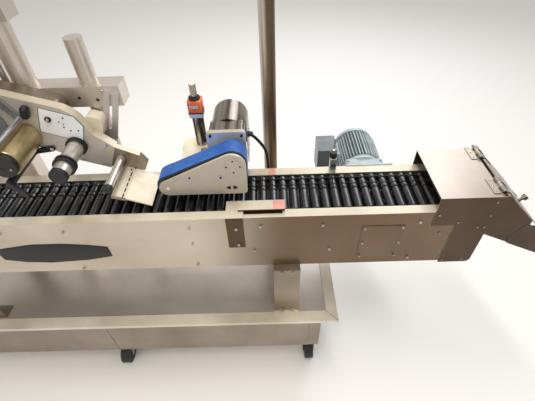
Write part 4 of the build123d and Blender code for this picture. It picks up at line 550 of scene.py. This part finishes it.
# The label head leans by 18 degrees, and the face of the operator box by 12
HEAD_TURN = Matrix.Rotation(math.radians(18), 4, "Y")
FACE_TURN = Matrix.Rotation(math.radians(90 - 12), 4, "X")


def on_front(x, z, y):
    """Place on an upright face at this y that looks to the front: X along the machine and Y up."""
    return at(x, y, z, TO_FRONT)


def on_head(u, v, y):
    """Place on the tilted label head, u along it and v square to it."""
    return at(-130, y, 764, HEAD_TURN @ TO_FRONT @ Matrix.Translation((u * MM, v * MM, 0)))


def on_box(x, v, out):
    """Place on the sloping face of the operator box, x from its middle and v up the face."""
    return at(pole_x, -5, 1290.3, FACE_TURN @ Matrix.Translation((x * MM, v * MM, out * MM)))


def hexed(piece, inside, flat):
    """Brings the points nearer the middle than inside onto a hexagon, flat millimetres from its middle."""
    for vertex in piece.data.vertices:
        if 0 < vertex.co.xy.length < inside * MM:
            angle = math.atan2(vertex.co.y, vertex.co.x) % (math.pi / 3) - math.pi / 6
            vertex.co.xy = vertex.co.xy.normalized() * flat * MM / math.cos(angle)
    return piece


# Screws, modelled once: cap screw and low round head, each with a hexagon socket, and a washer
cap_screw = hexed(turned("cap_screw_pattern", [(0, 3.4), (4.2, 3.4), (4.8, 2.9), (4.8, 2.0), (2.4, 1.9)], 24),
                  2.1, 1.55)
round_screw = hexed(turned("round_screw_pattern", [(0, 4.2), (0.7, 4.2), (1.7, 3.5), (2.3, 2.4), (2.4, 1.6),
                                                    (1.2, 1.5)], 24), 1.7, 1.25)
washer = turned("washer_pattern", [(0, 5.2), (0.9, 5.2), (1.1, 5.0), (1.1, 2.6)], 24)
screw_counts = {}


def screws(name, kind, places, body, material, size=1.0):
    """Copies of one screw at these places, numbered on from the last of this name."""
    for place in places:
        screw_counts[name] = screw_counts.get(name, 0) + 1
        piece = copy_of(kind, f"{name}_{screw_counts[name]:02d}", place @ Matrix.Scale(size, 4))
        done(piece, material, body)


# Carrying rollers: a long smooth part, then two raised rings with a slim waist between them
roller_pattern = turned("roller_pattern", [
    (-4, 3), (0, 3), (0, 9.8), (1.2, 11), (65.6, 11), (66.4, 8), (69.2, 8), (70, 10.4), (75, 11), (80, 10.4),
    (80.8, 8), (83.6, 8), (84.4, 9.7), (93, 10.3), (101.8, 9.7), (102.6, 8), (105.4, 8), (106.2, 10.4),
    (111, 11), (116.2, 10.4), (117, 8.6), (117, 3), (119, 3)], 24)
link_pattern = plate("link_pattern", rounded(25, 14, 5, 2), 3, 0)
for number in range(roller_count):
    roller_x = first_roller_x + roller_pitch * number
    roller = done(copy_of(roller_pattern, f"carrying_roller_{number + 1:02d}",
                          at(roller_x, -211, roller_z, TO_REAR)), black_acetal, "top_chain")
    if number + 1 < roller_count:
        for side, link_y in (("front", -211.5), ("rear", -97.5)):
            done(copy_of(link_pattern, f"chain_link_{side}_{number + 1:02d}",
                         on_front(roller_x + roller_pitch / 2, roller_z, link_y)), black_nylon, "top_chain")
dropped(roller_pattern)
dropped(link_pattern)
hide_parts("top_chain")

# Conveyor front: screws, lift-off access plate and the bare black plate
screws("conveyor_screw", cap_screw, [on_front(x, z, side_y) for x, z in (
    (-681, 693), (-681, 604), (-524, 693), (-524, 551), (-376, 693), (-225, 693), (-227, 551), (74, 693),
    (73, 637), (73, 554), (242, 694), (223, 605), (389, 693), (411, 604), (616, 693), (616, 560))],
       "base", turned_steel)
put(plate("access_plate", rounded(103, 117, 3, 3), 1.5, 0.4),
    on_front(534.5, 624.5, side_y), stainless_side, "base")
screws("access_screw", cap_screw, [on_front(x, z, side_y - 1.5) for x, z in (
    (490, 677), (579, 677), (490, 624), (579, 624), (490, 572), (579, 572))], "base", turned_steel, 0.85)
plate_outline = [(-137, 598), (-138.5, 634), (-186, 643.7), (-247.7, 650.6), (-322.8, 650.5), (-404.7, 637),
                 (-417, 617), (-413, 595), (-363, 583.5), (-300, 578.3), (-202.4, 585.2)]
put(plate("bare_black_plate", plate_outline[::-1], 1.2, 0.4), on_front(0, 0, side_y), black_sheet, "base")

# Press belt: blue skin on a black core that stands 5 mm further forward, so that its edge shows as a dark
# line round the front plate, partly the real black core and partly painted shadow of the gap
belt_rollers = [(184, 827), (30, 767), (188, 767)]
belt_outlines = [hull([(x, z, radius - inset) for (x, z), radius in zip(belt_rollers, (34, 27, 27))], 120)
                 for inset in (0, 1, 4)]
belt_skin = put(band("press_belt_skin", belt_outlines[0], belt_outlines[1], 43),
                on_front(0, 0, belt_y), blue_belt, "press_unit")
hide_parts("press_belt")
put(band("press_belt_core", belt_outlines[1], belt_outlines[2], 48),
    on_front(0, 0, belt_y), lead_rubber, "press_unit")

# Press front plate: cap disc over the drive roller, bolts, nose pin and the adjusting slot, a dark plate of
# painted shade
put(turned("drive_cap", [(0, 20), (0.8, 20), (1.4, 19.3), (1.4, 11), (0.9, 10.6)], 48),
    on_front(drive_x, drive_z, press_y), stainless_press, "press_unit")
screws("drive_cap_screw", round_screw, [on_front(drive_x + x, drive_z + z, press_y - 1.2) for x, z in (
    (0, 15.5), (15.5, 0), (0, -15.5), (-15.5, 0))], "press_unit", dark_steel_and_hole_shade, 0.55)
press_bolts = ((85.5, 798.5), (156, 797))
screws("press_plate_bolt", round_screw, [on_front(x, z, press_y - 1.1) for x, z in press_bolts],
       "press_unit", dark_steel_and_hole_shade, 0.7)
screws("press_plate_washer", washer, [on_front(x, z, press_y) for x, z in press_bolts],
       "press_unit", turned_steel, 1.15)
screws("press_plate_screw", round_screw, [on_front(x, z, press_y) for x, z in ((76, 767), (123, 766))],
       "press_unit", turned_steel, 0.65)
put(turned("nose_pin", [(0, 4.6), (1.2, 4.6), (2.2, 3.6)], 24),
    on_front(30.4, 767.2, press_y), cream_paint, "press_unit")
put(plate("adjusting_slot", [(14, 0), (8, 4.6), (-8, 4.6), (-14, 0), (-8, -4.6), (8, -4.6)], 0.5, 0),
    on_front(179.3, 765.2, press_y), dark_steel_and_hole_shade, "press_unit")
done(block("slot_bridge", (176.6, -181.9, 760.4), (182, -181, 770), 0.3, 1), stainless_press, "press_unit")

# Gearmotor flange: bolts in its upper corners, screws of the gearhead behind it
screws("flange_bolt", cap_screw, [on_front(x, z, -113) for x, z in ((134.5, 864.6), (206, 863))],
       "press_unit", dark_steel_and_hole_shade, 0.9)
screws("gearhead_screw", round_screw, [at(x, y, 868) for x in (136, 204) for y in (-95, -62)],
       "press_unit", turned_steel, 0.6)
screws("cover_screw", round_screw, [at(x, y, 790, Matrix.Rotation(math.radians(angle), 4, "Y"))
                                    for x, angle in ((215, 90), (125, -90)) for y in (-46, 28)],
       "press_unit", turned_steel, 0.8)
put(turned("lead_gland", [(0, 8.4), (3, 8.4), (3, 6.6), (9, 6.6), (12, 5.6), (12, 4.2)], 18),
    at(215, lead_y, 796, TO_RIGHT), black_nylon, "press_unit")

# Position indicator: black seat, orange housing with a sloping front, counter and black collar
done(block("indicator_seat", (81, -55.1, 886), (115, -24, 889), 0.4, 1), black_nylon, "base")
indicator_side = [(-54.5, 889), (-24.5, 889), (-24.5, 918), (-50.5, 918), (-54.5, 910)]
indicator_body = put(plate("indicator_body", indicator_side, 33, 1.4), at(81.5, 0, 0, TO_SIDE),
                     orange_plastic, "base")
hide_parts("position_indicator")
put(turned("indicator_collar", [(918, 13.3), (922.6, 13.3), (924.5, 11.8), (924.5, 7), (921.5, 6.6)], 40),
    at(column_x, column_y, 0), black_nylon, "base")
done(block("counter_frame", (84.3, -55.1, 900.2), (108.9, -54.2, 909.4), 0.3, 1), black_nylon, "base")
digit_wheel = block("digit_wheel_pattern", (-1.9, -0.5, -3.7), (1.9, 0.5, 3.7), 0.3, 1)
digit_nought = band("digit_nought_pattern", rounded(2.8, 5.4, 1.3, 3), rounded(1.3, 3.9, 0.6, 3), 0.12)
digit_one = block("digit_one_pattern", (-0.45, -0.06, -2.7), (0.45, 0.06, 2.7), 0.05, 1)
for number in range(5):
    wheel_x = 87.6 + 4.5 * number
    done(copy_of(digit_wheel, f"digit_wheel_{number + 1}", at(wheel_x, -55.1, counter_z)),
         white_plastic, "base")
    if number == 2:
        done(copy_of(digit_one, "digit_one", at(wheel_x, -55.64, counter_z)), dark_steel_and_hole_shade, "base")
    else:
        done(copy_of(digit_nought, f"digit_nought_{number + 1}", on_front(wheel_x, counter_z, -55.6)),
             dark_steel_and_hole_shade, "base")
for pattern in (digit_wheel, digit_nought, digit_one):
    dropped(pattern)

# Height knob: straight knurl between smooth ends, and a dark disc of painted shade for a set screw hole near
# its foot
knob_sides = 60
knurl_low, knurl_high = 931, 952.5
knob = turned("knurled_height_knob", [
    (816, 5), (925, 5), (925.5, 7.6), (926.5, 8), (930.5, 8), (knurl_low, 8), (knurl_high, 8), (953, 8),
    (954.6, 8), (955.5, 7.2)], knob_sides)
for vertex in knob.data.vertices:
    step = round(math.atan2(vertex.co.y, vertex.co.x) / math.tau * knob_sides)
    if step % 2 and knurl_low - 0.2 < vertex.co.z / MM < knurl_high + 0.2:
        vertex.co.xy = vertex.co.xy * 0.93
moved(knob, at(column_x, column_y, 0))
done(knob, knob_steel, "height_knob", 25)
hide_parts("height_knob")
hole_turn = Matrix.Rotation(math.radians(42), 4, "Z") @ Matrix.Translation((0, -7.7 * MM, 0)) @ TO_FRONT
put(turned("set_screw_hole", [(0, 1.5), (0.25, 1.5)], 16), at(column_x, column_y, 934, hole_turn),
    dark_steel_and_hole_shade, "height_knob")
screws("slide_block_screw", cap_screw, [on_front(x, z, -60) for x, z in ((60, 768), (60, 786))],
       "press_unit", turned_steel, 0.8)

# Label head: white control field with its green border, lamps and the ring round the adjusting knob
field = [(-157, 132), (-80, 130), (-60.5, 107), (-62, 62), (-157, 66), (-158.5, 76)]
field_middle = Vector((-112, 98))
border_width = 2.6
field_inner = []
for corner in field:
    step_in = field_middle - Vector(corner)
    field_inner.append(tuple(Vector(corner) + step_in * (border_width / step_in.length)))
put(plate("control_field", field_inner, 0.5, 0), on_head(0, 0, head_y), printed_white, "base")
put(band("control_border", field, field_inner, 0.5), on_head(0, 0, head_y), printed_green, "base")
lamp_pattern = turned("lamp_pattern", [(0, 1.9), (0.7, 1.9), (1.2, 1.2)], 16)
for number, (u, v, size) in enumerate(((-105.3, 118.3, 1.1), (-114.5, 105.5, 0.8), (-105, 102, 0.7),
                                        (-104.5, 93.5, 0.9), (-90, 88, 1), (-73, 93, 1))):
    done(copy_of(lamp_pattern, f"control_lamp_{number + 1}",
                 on_head(u, v, head_y - 0.5) @ Matrix.Scale(size, 4)), black_nylon, "base")
dropped(lamp_pattern)
knob_ring = put(turned("adjusting_knob_ring", [(0, 7), (3.4, 7), (4.2, 6.2), (4.2, 3.6), (3.4, 3.4)], 36),
                on_head(knob_u, knob_v, head_y - 0.3), black_nylon, "head_knob")
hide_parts("head_knob")
put(turned("adjusting_knob_cap", [(3.2, 3.5), (3.9, 3.5), (4.2, 2.8)], 24),
    on_head(knob_u, knob_v, head_y - 0.3), cream_paint, "head_knob")
put(block("adjusting_knob_pointer", (-0.4, 3.8, 4.1), (0.4, 6.4, 4.35), 0.1, 1),
    on_head(knob_u, knob_v, head_y - 0.3), white_plastic, "head_knob")
screws("head_screw", cap_screw, [on_head(u, v, head_y) for u, v in (
    (-317, 30), (-317, 129), (-240, 30), (-124, 47), (-66, 9.5), (-44.6, 9))], "base", turned_steel, 0.6)
screws("head_flush_screw", round_screw, [on_head(-211, 129, head_y + 1.4)], "base", turned_steel, 0.6)
screws("head_edge_screw", round_screw, [on_head(u, v, head_y) for u, v in (
    (-18.5, 9.5), (-9, 10), (-44, 57), (-16, 57))], "base", turned_steel, 0.6)
screws("head_washer", washer, [on_head(-11, 68, head_y)], "base", turned_steel)
# Dark piece in the washer: painted shade of its hole
screws("head_washer_hole", round_screw, [on_head(-11, 68, head_y)], "base", dark_steel_and_hole_shade, 0.6)
put(turned("sight_dot", [(0, 2.6), (1.0, 2.6), (1.6, 1.8)], 20),
    on_head(-2.5, 52, head_y), yellow_plastic, "base")

# Knurled drum: diamond knurl, black end cap with two screws
drum_sides = 84
knurl_start, knurl_pitch, knurl_rings = 3, 2.5, 42
drum = turned("knurled_drum_sleeve", [
    (0, 32), (1, 33), *((knurl_start + knurl_pitch * ring, 33) for ring in range(knurl_rings)), (107, 32.4)],
    drum_sides)
for vertex in drum.data.vertices:
    ring = round((vertex.co.z / MM - knurl_start) / knurl_pitch)
    step = round(math.atan2(vertex.co.y, vertex.co.x) / math.tau * drum_sides)
    if 0 < ring < knurl_rings - 1 and (step + ring) % 2:
        vertex.co.xy = vertex.co.xy * 0.985
moved(drum, on_head(drum_u, drum_v, axle_y))
done(drum, drum_brass, "knurled_drum", 20)
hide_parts("knurled_drum")
put(turned("drum_end_cap", [(107, 29), (117.5, 29), (119, 27.6), (119, 7), (117.8, 6.6)], 48),
    on_head(drum_u, drum_v, axle_y), black_nylon, "knurled_drum")
screws("drum_cap_screw", cap_screw, [on_head(drum_u + u, drum_v, axle_y - 118.6) for u in (18, -18)],
       "knurled_drum", turned_steel, 0.7)

# Ringed roller: bright sleeve, black flange at the head, two black rings and a black end cap
sleeve = put(turned("ringed_roller_sleeve", [(0, 19.3), (108, 19.3)], 48),
             on_head(ringed_u, ringed_v, axle_y), roller_aluminium, "ringed_roller")
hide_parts("ringed_roller")
put(turned("ringed_roller_flange", [(0, 24), (3, 24), (3.4, 22.5), (5, 22.5), (5.4, 24), (8.6, 24), (9, 23.5),
                                    (9, 19.4)], 48),
    on_head(ringed_u, ringed_v, axle_y), black_nylon, "ringed_roller")
ring_pattern = turned("roller_ring_pattern", [(0, 19.35), (0, 24.2), (0.8, 25), (4.2, 25), (5, 24.2),
                                              (5, 19.35)], 48)
for number, y in enumerate((-160, -170)):
    done(copy_of(ring_pattern, f"roller_ring_{number + 1}", on_head(ringed_u, ringed_v, y)),
         black_nylon, "ringed_roller")
dropped(ring_pattern)
put(turned("ringed_roller_end_cap", [(108, 19.5), (118, 19.5), (119, 18.6)], 48),
    on_head(ringed_u, ringed_v, axle_y), black_nylon, "ringed_roller")

# Plain roller: bright sleeve with a black end cap
plain_sleeve = put(turned("plain_roller_sleeve", [(0, 9.75), (107, 9.75)], 32),
                   on_head(plain_u, plain_v, axle_y), roller_aluminium, "plain_roller")
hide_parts("plain_roller")
put(turned("plain_roller_end_cap", [(107, 9.75), (118, 9.75), (119, 9)], 32),
    on_head(plain_u, plain_v, axle_y), black_nylon, "plain_roller")

# Black grip of the dancer arm beside the control field, on a neck from the end of the arm
put(plate("dancer_grip", rounded(17, 30, 6, 4, (-181, 115)), 11, 1.2, 1.5),
    on_head(0, 0, head_y), black_nylon, "dancer_arm")
put(turned("dancer_grip_top", [(12, 6.5), (15, 6.2), (16.5, 5)], 28),
    on_head(-181, 121, head_y), black_nylon, "dancer_arm")
put(plate("dancer_grip_neck", [(-199, 98), (-193, 91), (-178, 104), (-184, 111)], 4, 0.5, 2.5),
    on_head(0, 0, head_y), black_nylon, "dancer_arm")

# Peel end: screws of the side plate, dark dashes of painted shade for the slots in the crossbar and the
# screws at its near end
screws("peel_arm_screw", cap_screw, [on_head(u, v, head_y - 16) for u, v in (
    (36, 42), (52, 22), (12, 30), (62, 30))], "base", dark_steel_and_hole_shade, 0.6)
for number in range(5):
    put(block(f"crossbar_slot_{number + 1}", (-1.5, -7, -0.2), (1.5, 7, 0.25), 0.1, 1),
        on_head(54, 14, -116 - 19 * number) @ TO_REAR, dark_steel_and_hole_shade, "base")
screws("crossbar_screw", cap_screw, [on_head(u, 9.5, -199) for u in (35, 55)], "base", turned_steel, 0.55)

# Stand: screws and nut on the front of the box arm; bolts in the foot of the operator pole
screws("arm_screw", round_screw, [on_front(x, z, arm_y) for x, z in ((-169.6, 926), (-128.2, 920))],
       "base", dark_steel_and_hole_shade, 0.9)
screws("arm_nut", cap_screw, [on_front(-109.8, 943, arm_y)], "base", turned_steel, 1.2)
bolt_ways = [Vector((math.cos(angle), math.sin(angle)))
             for angle in (math.pi / 4 + quarter * math.pi / 2 for quarter in range(4))]
screws("foot_bolt", cap_screw, [at(pole_x + 38 * way.x, pole_y + 38 * way.y, 356) for way in bolt_ways],
       "base", turned_steel)

# Hood: screws on its front and in its hinges; screws of the conveyor legs
screws("hood_screw", round_screw, [on_front(x, z, hood_y) for x, z in (
    (655, 714), (673, 651), (706, 688), (757, 669), (773, 669), (773, 709), (773, 751), (709, 546),
    (760, 546))], "base", stainless_low, 0.7)
screws("hinge_screw", round_screw, [at(770, y + along, 769) for y in (-206, -82) for along in (-17, 0, 17)],
       "base", turned_steel, 0.6)
screws("leg_screw", cap_screw, [on_front(x, z, leg_y) for x in (292, 321, -579, -550) for z in (534.5, 355)],
       "base", turned_steel)

# Bottle stop: two bolts, the red mark at its end and a painted shadow strip on the rail under it; the same
# mark on the rear rail
screws("stop_bolt", cap_screw, [on_front(x, z, side_y - 4) for x, z in ((185, 692), (187, 634.5))],
       "base", turned_steel)
done(block("stop_mark", (273, -222, 731.9), (300.6, -193.2, 732.2), 0.1, 1), marking_red, "base")
done(block("rail_shadow_strip", (204, -228.5, 722.95), (294.5, -215.5, 723.25), 0.1, 1),
     stainless_shade, "base")
done(block("rail_mark", (264.5, -89.6, 722.9), (282, -64, 723.2), 0.1, 1), marking_red, "base")

# Chain motor: a second set of cooling fins between the cast ones
fin_count = 22
fin_pattern = block("motor_fin_pattern", (-1.3, -1, 53), (1.3, 108, 62), 0.4, 1)
for number in range(fin_count):
    turn = Matrix.Rotation(math.tau * number / fin_count, 4, "Y")
    done(copy_of(fin_pattern, f"motor_fin_{number + 1:02d}", at(motor_x, 0, motor_z, turn)),
         motor_paint, "base")
dropped(fin_pattern)
screws("motor_shield_screw", cap_screw, [
    on_front(motor_x + 50 * way.x, motor_z + 50 * way.y, 132) @ TURNED_BACK for way in bolt_ways],
       "base", turned_steel)
screws("terminal_lid_screw", round_screw, [at(408 + x, 34 + y, 701.9) for x in (8, 48) for y in (8, 68)],
       "base", turned_steel, 0.7)
screws("gearbox_screw", cap_screw, [at(motor_x + x, y, 705.9) for x in (-44, 44) for y in (-50, -22)],
       "base", turned_steel, 0.9)

# Clamp on the rear rail: foot, clamp block, black hand nut and the pin it holds
clamp_x, clamp_y = 429, -76.5
done(block("rail_clamp_foot", (424, -89, 723), (437, -66, 727), 0.8), turned_steel, "base")
done(block("rail_clamp_block", (421.5, -85, 727), (438.5, -68, 764), 2.5, 3), turned_steel, "base")
put(turned("rail_clamp_nut", [(764, 7.6), (766, 9.2), (776, 9.2), (779, 7.4)], 20),
    at(clamp_x, clamp_y, 0), black_nylon, "base")
put(turned("rail_clamp_pin", [(779, 6.8), (789, 6.8), (790, 5.5), (791, 2.6), (820.5, 2.6),
                              (821.5, 1.8)], 20),
    at(clamp_x, clamp_y, 0), turned_steel, "base")
screws("rail_clamp_screw", cap_screw, [on_front(x, 745, -85) for x in (426, 434)], "base", dark_steel_and_hole_shade, 0.7)

# Height knob: pale cap on its top
put(turned("height_knob_cap", [(955.3, 7.1), (955.8, 7.1), (956.0, 6.4)], 32),
    at(column_x, column_y, 0), cream_paint, "height_knob")

# Corner seams of the table rim
for name, x, y, angle in (("front_right", 436.5, -283.5, -45), ("rear_right", 436.5, 283.5, 45),
                          ("front_left", -958.5, -283.5, 45), ("rear_left", -958.5, 283.5, -45)):
    put(block(f"rim_seam_{name}", (-22.5, -0.5, -0.2), (22.5, 0.5, 0.15), 0.1, 1),
        at(x, y, 346, Matrix.Rotation(math.radians(angle), 4, "Z")), dark_steel_and_hole_shade, "base")

# Operator box: black screen in its recess with a grey frame, the yellow collar of the stop button and
# two lamps
put(plate("operator_screen", rounded(176, 136, 3, 3), 1.6, 0.4),
    on_box(-35, 117, -2), screen_glass, "operator_box")
put(band("screen_frame", rounded(188, 148, 6, 4), rounded(178, 138, 4, 4), 1.2, 0.3),
    on_box(-35, 117, 0), grey_abs, "operator_box")
put(turned("stop_button_collar", [(0, 21), (2.5, 21), (4, 19.5), (4, 12)], 40),
    on_box(98, 117, 0), yellow_plastic, "operator_box")
for number, v in enumerate((70, 165)):
    put(turned(f"operator_lamp_{number + 1}", [(0, 8), (2, 8), (3, 6.5), (5.5, 6)], 28),
        on_box(98, v, 0), (white_plastic, dark_steel_and_hole_shade)[number], "operator_box")

# Lead of the press motor: from the motor cover over the rear rail and down to the table tray
lead_route = [(215, 796), (226, 791), (238, 777), (251, 758), (260, 738), (263, 712), (264, 680), (267, 600),
              (264, 520), (269, 430), (269, 342)]
lead_curve = bpy.data.curves.new("lead_route", "CURVE")
lead_curve.dimensions = "3D"
lead_curve.resolution_u = 16
lead_spline = lead_curve.splines.new("NURBS")
lead_spline.points.add(len(lead_route) - 1)
for point, (x, z) in zip(lead_spline.points, lead_route):
    point.co = (x * MM, lead_y * MM, z * MM, 1)
lead_spline.order_u = 3
lead_spline.use_endpoint_u = True
lead_line = bpy.data.objects.new("lead_route", lead_curve)
bpy.context.scene.collection.objects.link(lead_line)
bpy.context.view_layer.update()
lead_path = [tuple(vertex.co) for vertex in bpy.data.meshes.new_from_object(lead_line).vertices]
lead_curve.bevel_depth = 4 * MM
lead_curve.bevel_resolution = 4
lead_curve.use_fill_caps = True
lead_mesh = bpy.data.meshes.new_from_object(lead_line)
dropped(lead_line)
lead = bpy.data.objects.new("press_motor_lead", lead_mesh)
bpy.context.scene.collection.objects.link(lead)
done(lead, lead_rubber, None, 60)
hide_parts("motor_lead")
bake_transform(lead)

# Floor and soft studio light
bpy.ops.object.select_all(action="DESELECT")
bpy.ops.mesh.primitive_plane_add(size=14, location=(0, 0, 0))
floor = started("floor")
floor.data.materials.append(finish_of("pale_floor", "fbfaf8", 0.0, 0.6)[0])


def soft_light(name, place, aim, size, power, colour):
    """Studio lamp of this width and length that looks from place to aim."""
    lamp = bpy.data.lights.new(name, "AREA")
    lamp.shape = "RECTANGLE"
    lamp.size = size[0]
    lamp.size_y = size[1]
    lamp.energy = power
    lamp.color = linear(colour)[:3]
    stand = bpy.data.objects.new(name, lamp)
    bpy.context.scene.collection.objects.link(stand)
    stand.location = place
    stand.rotation_euler = (Vector(aim) - Vector(place)).to_track_quat("-Z", "Y").to_euler()


soft_light("ceiling_light", (0.2, -0.3, 3.4), (0.1, 0, 0.6), (0.34, 2.6), 60, "fff9f0")
soft_light("front_light", (-1.6, -2.6, 2.2), (0, 0, 0.6), (1.8, 1.4), 14, "fff6ea")
soft_light("rear_light", (1.2, 2.4, 2.4), (0, 0, 0.7), (2.2, 1.4), 30, "f4f6ff")
world = bpy.data.worlds.new("studio")
world.use_nodes = True
world.node_tree.nodes["Background"].inputs["Color"].default_value = linear("f2f0ec")
world.node_tree.nodes["Background"].inputs["Strength"].default_value = 0.6
bpy.context.scene.world = world
bpy.context.scene.view_settings.view_transform = "Standard"

for pattern in (cap_screw, round_screw, washer):
    dropped(pattern)
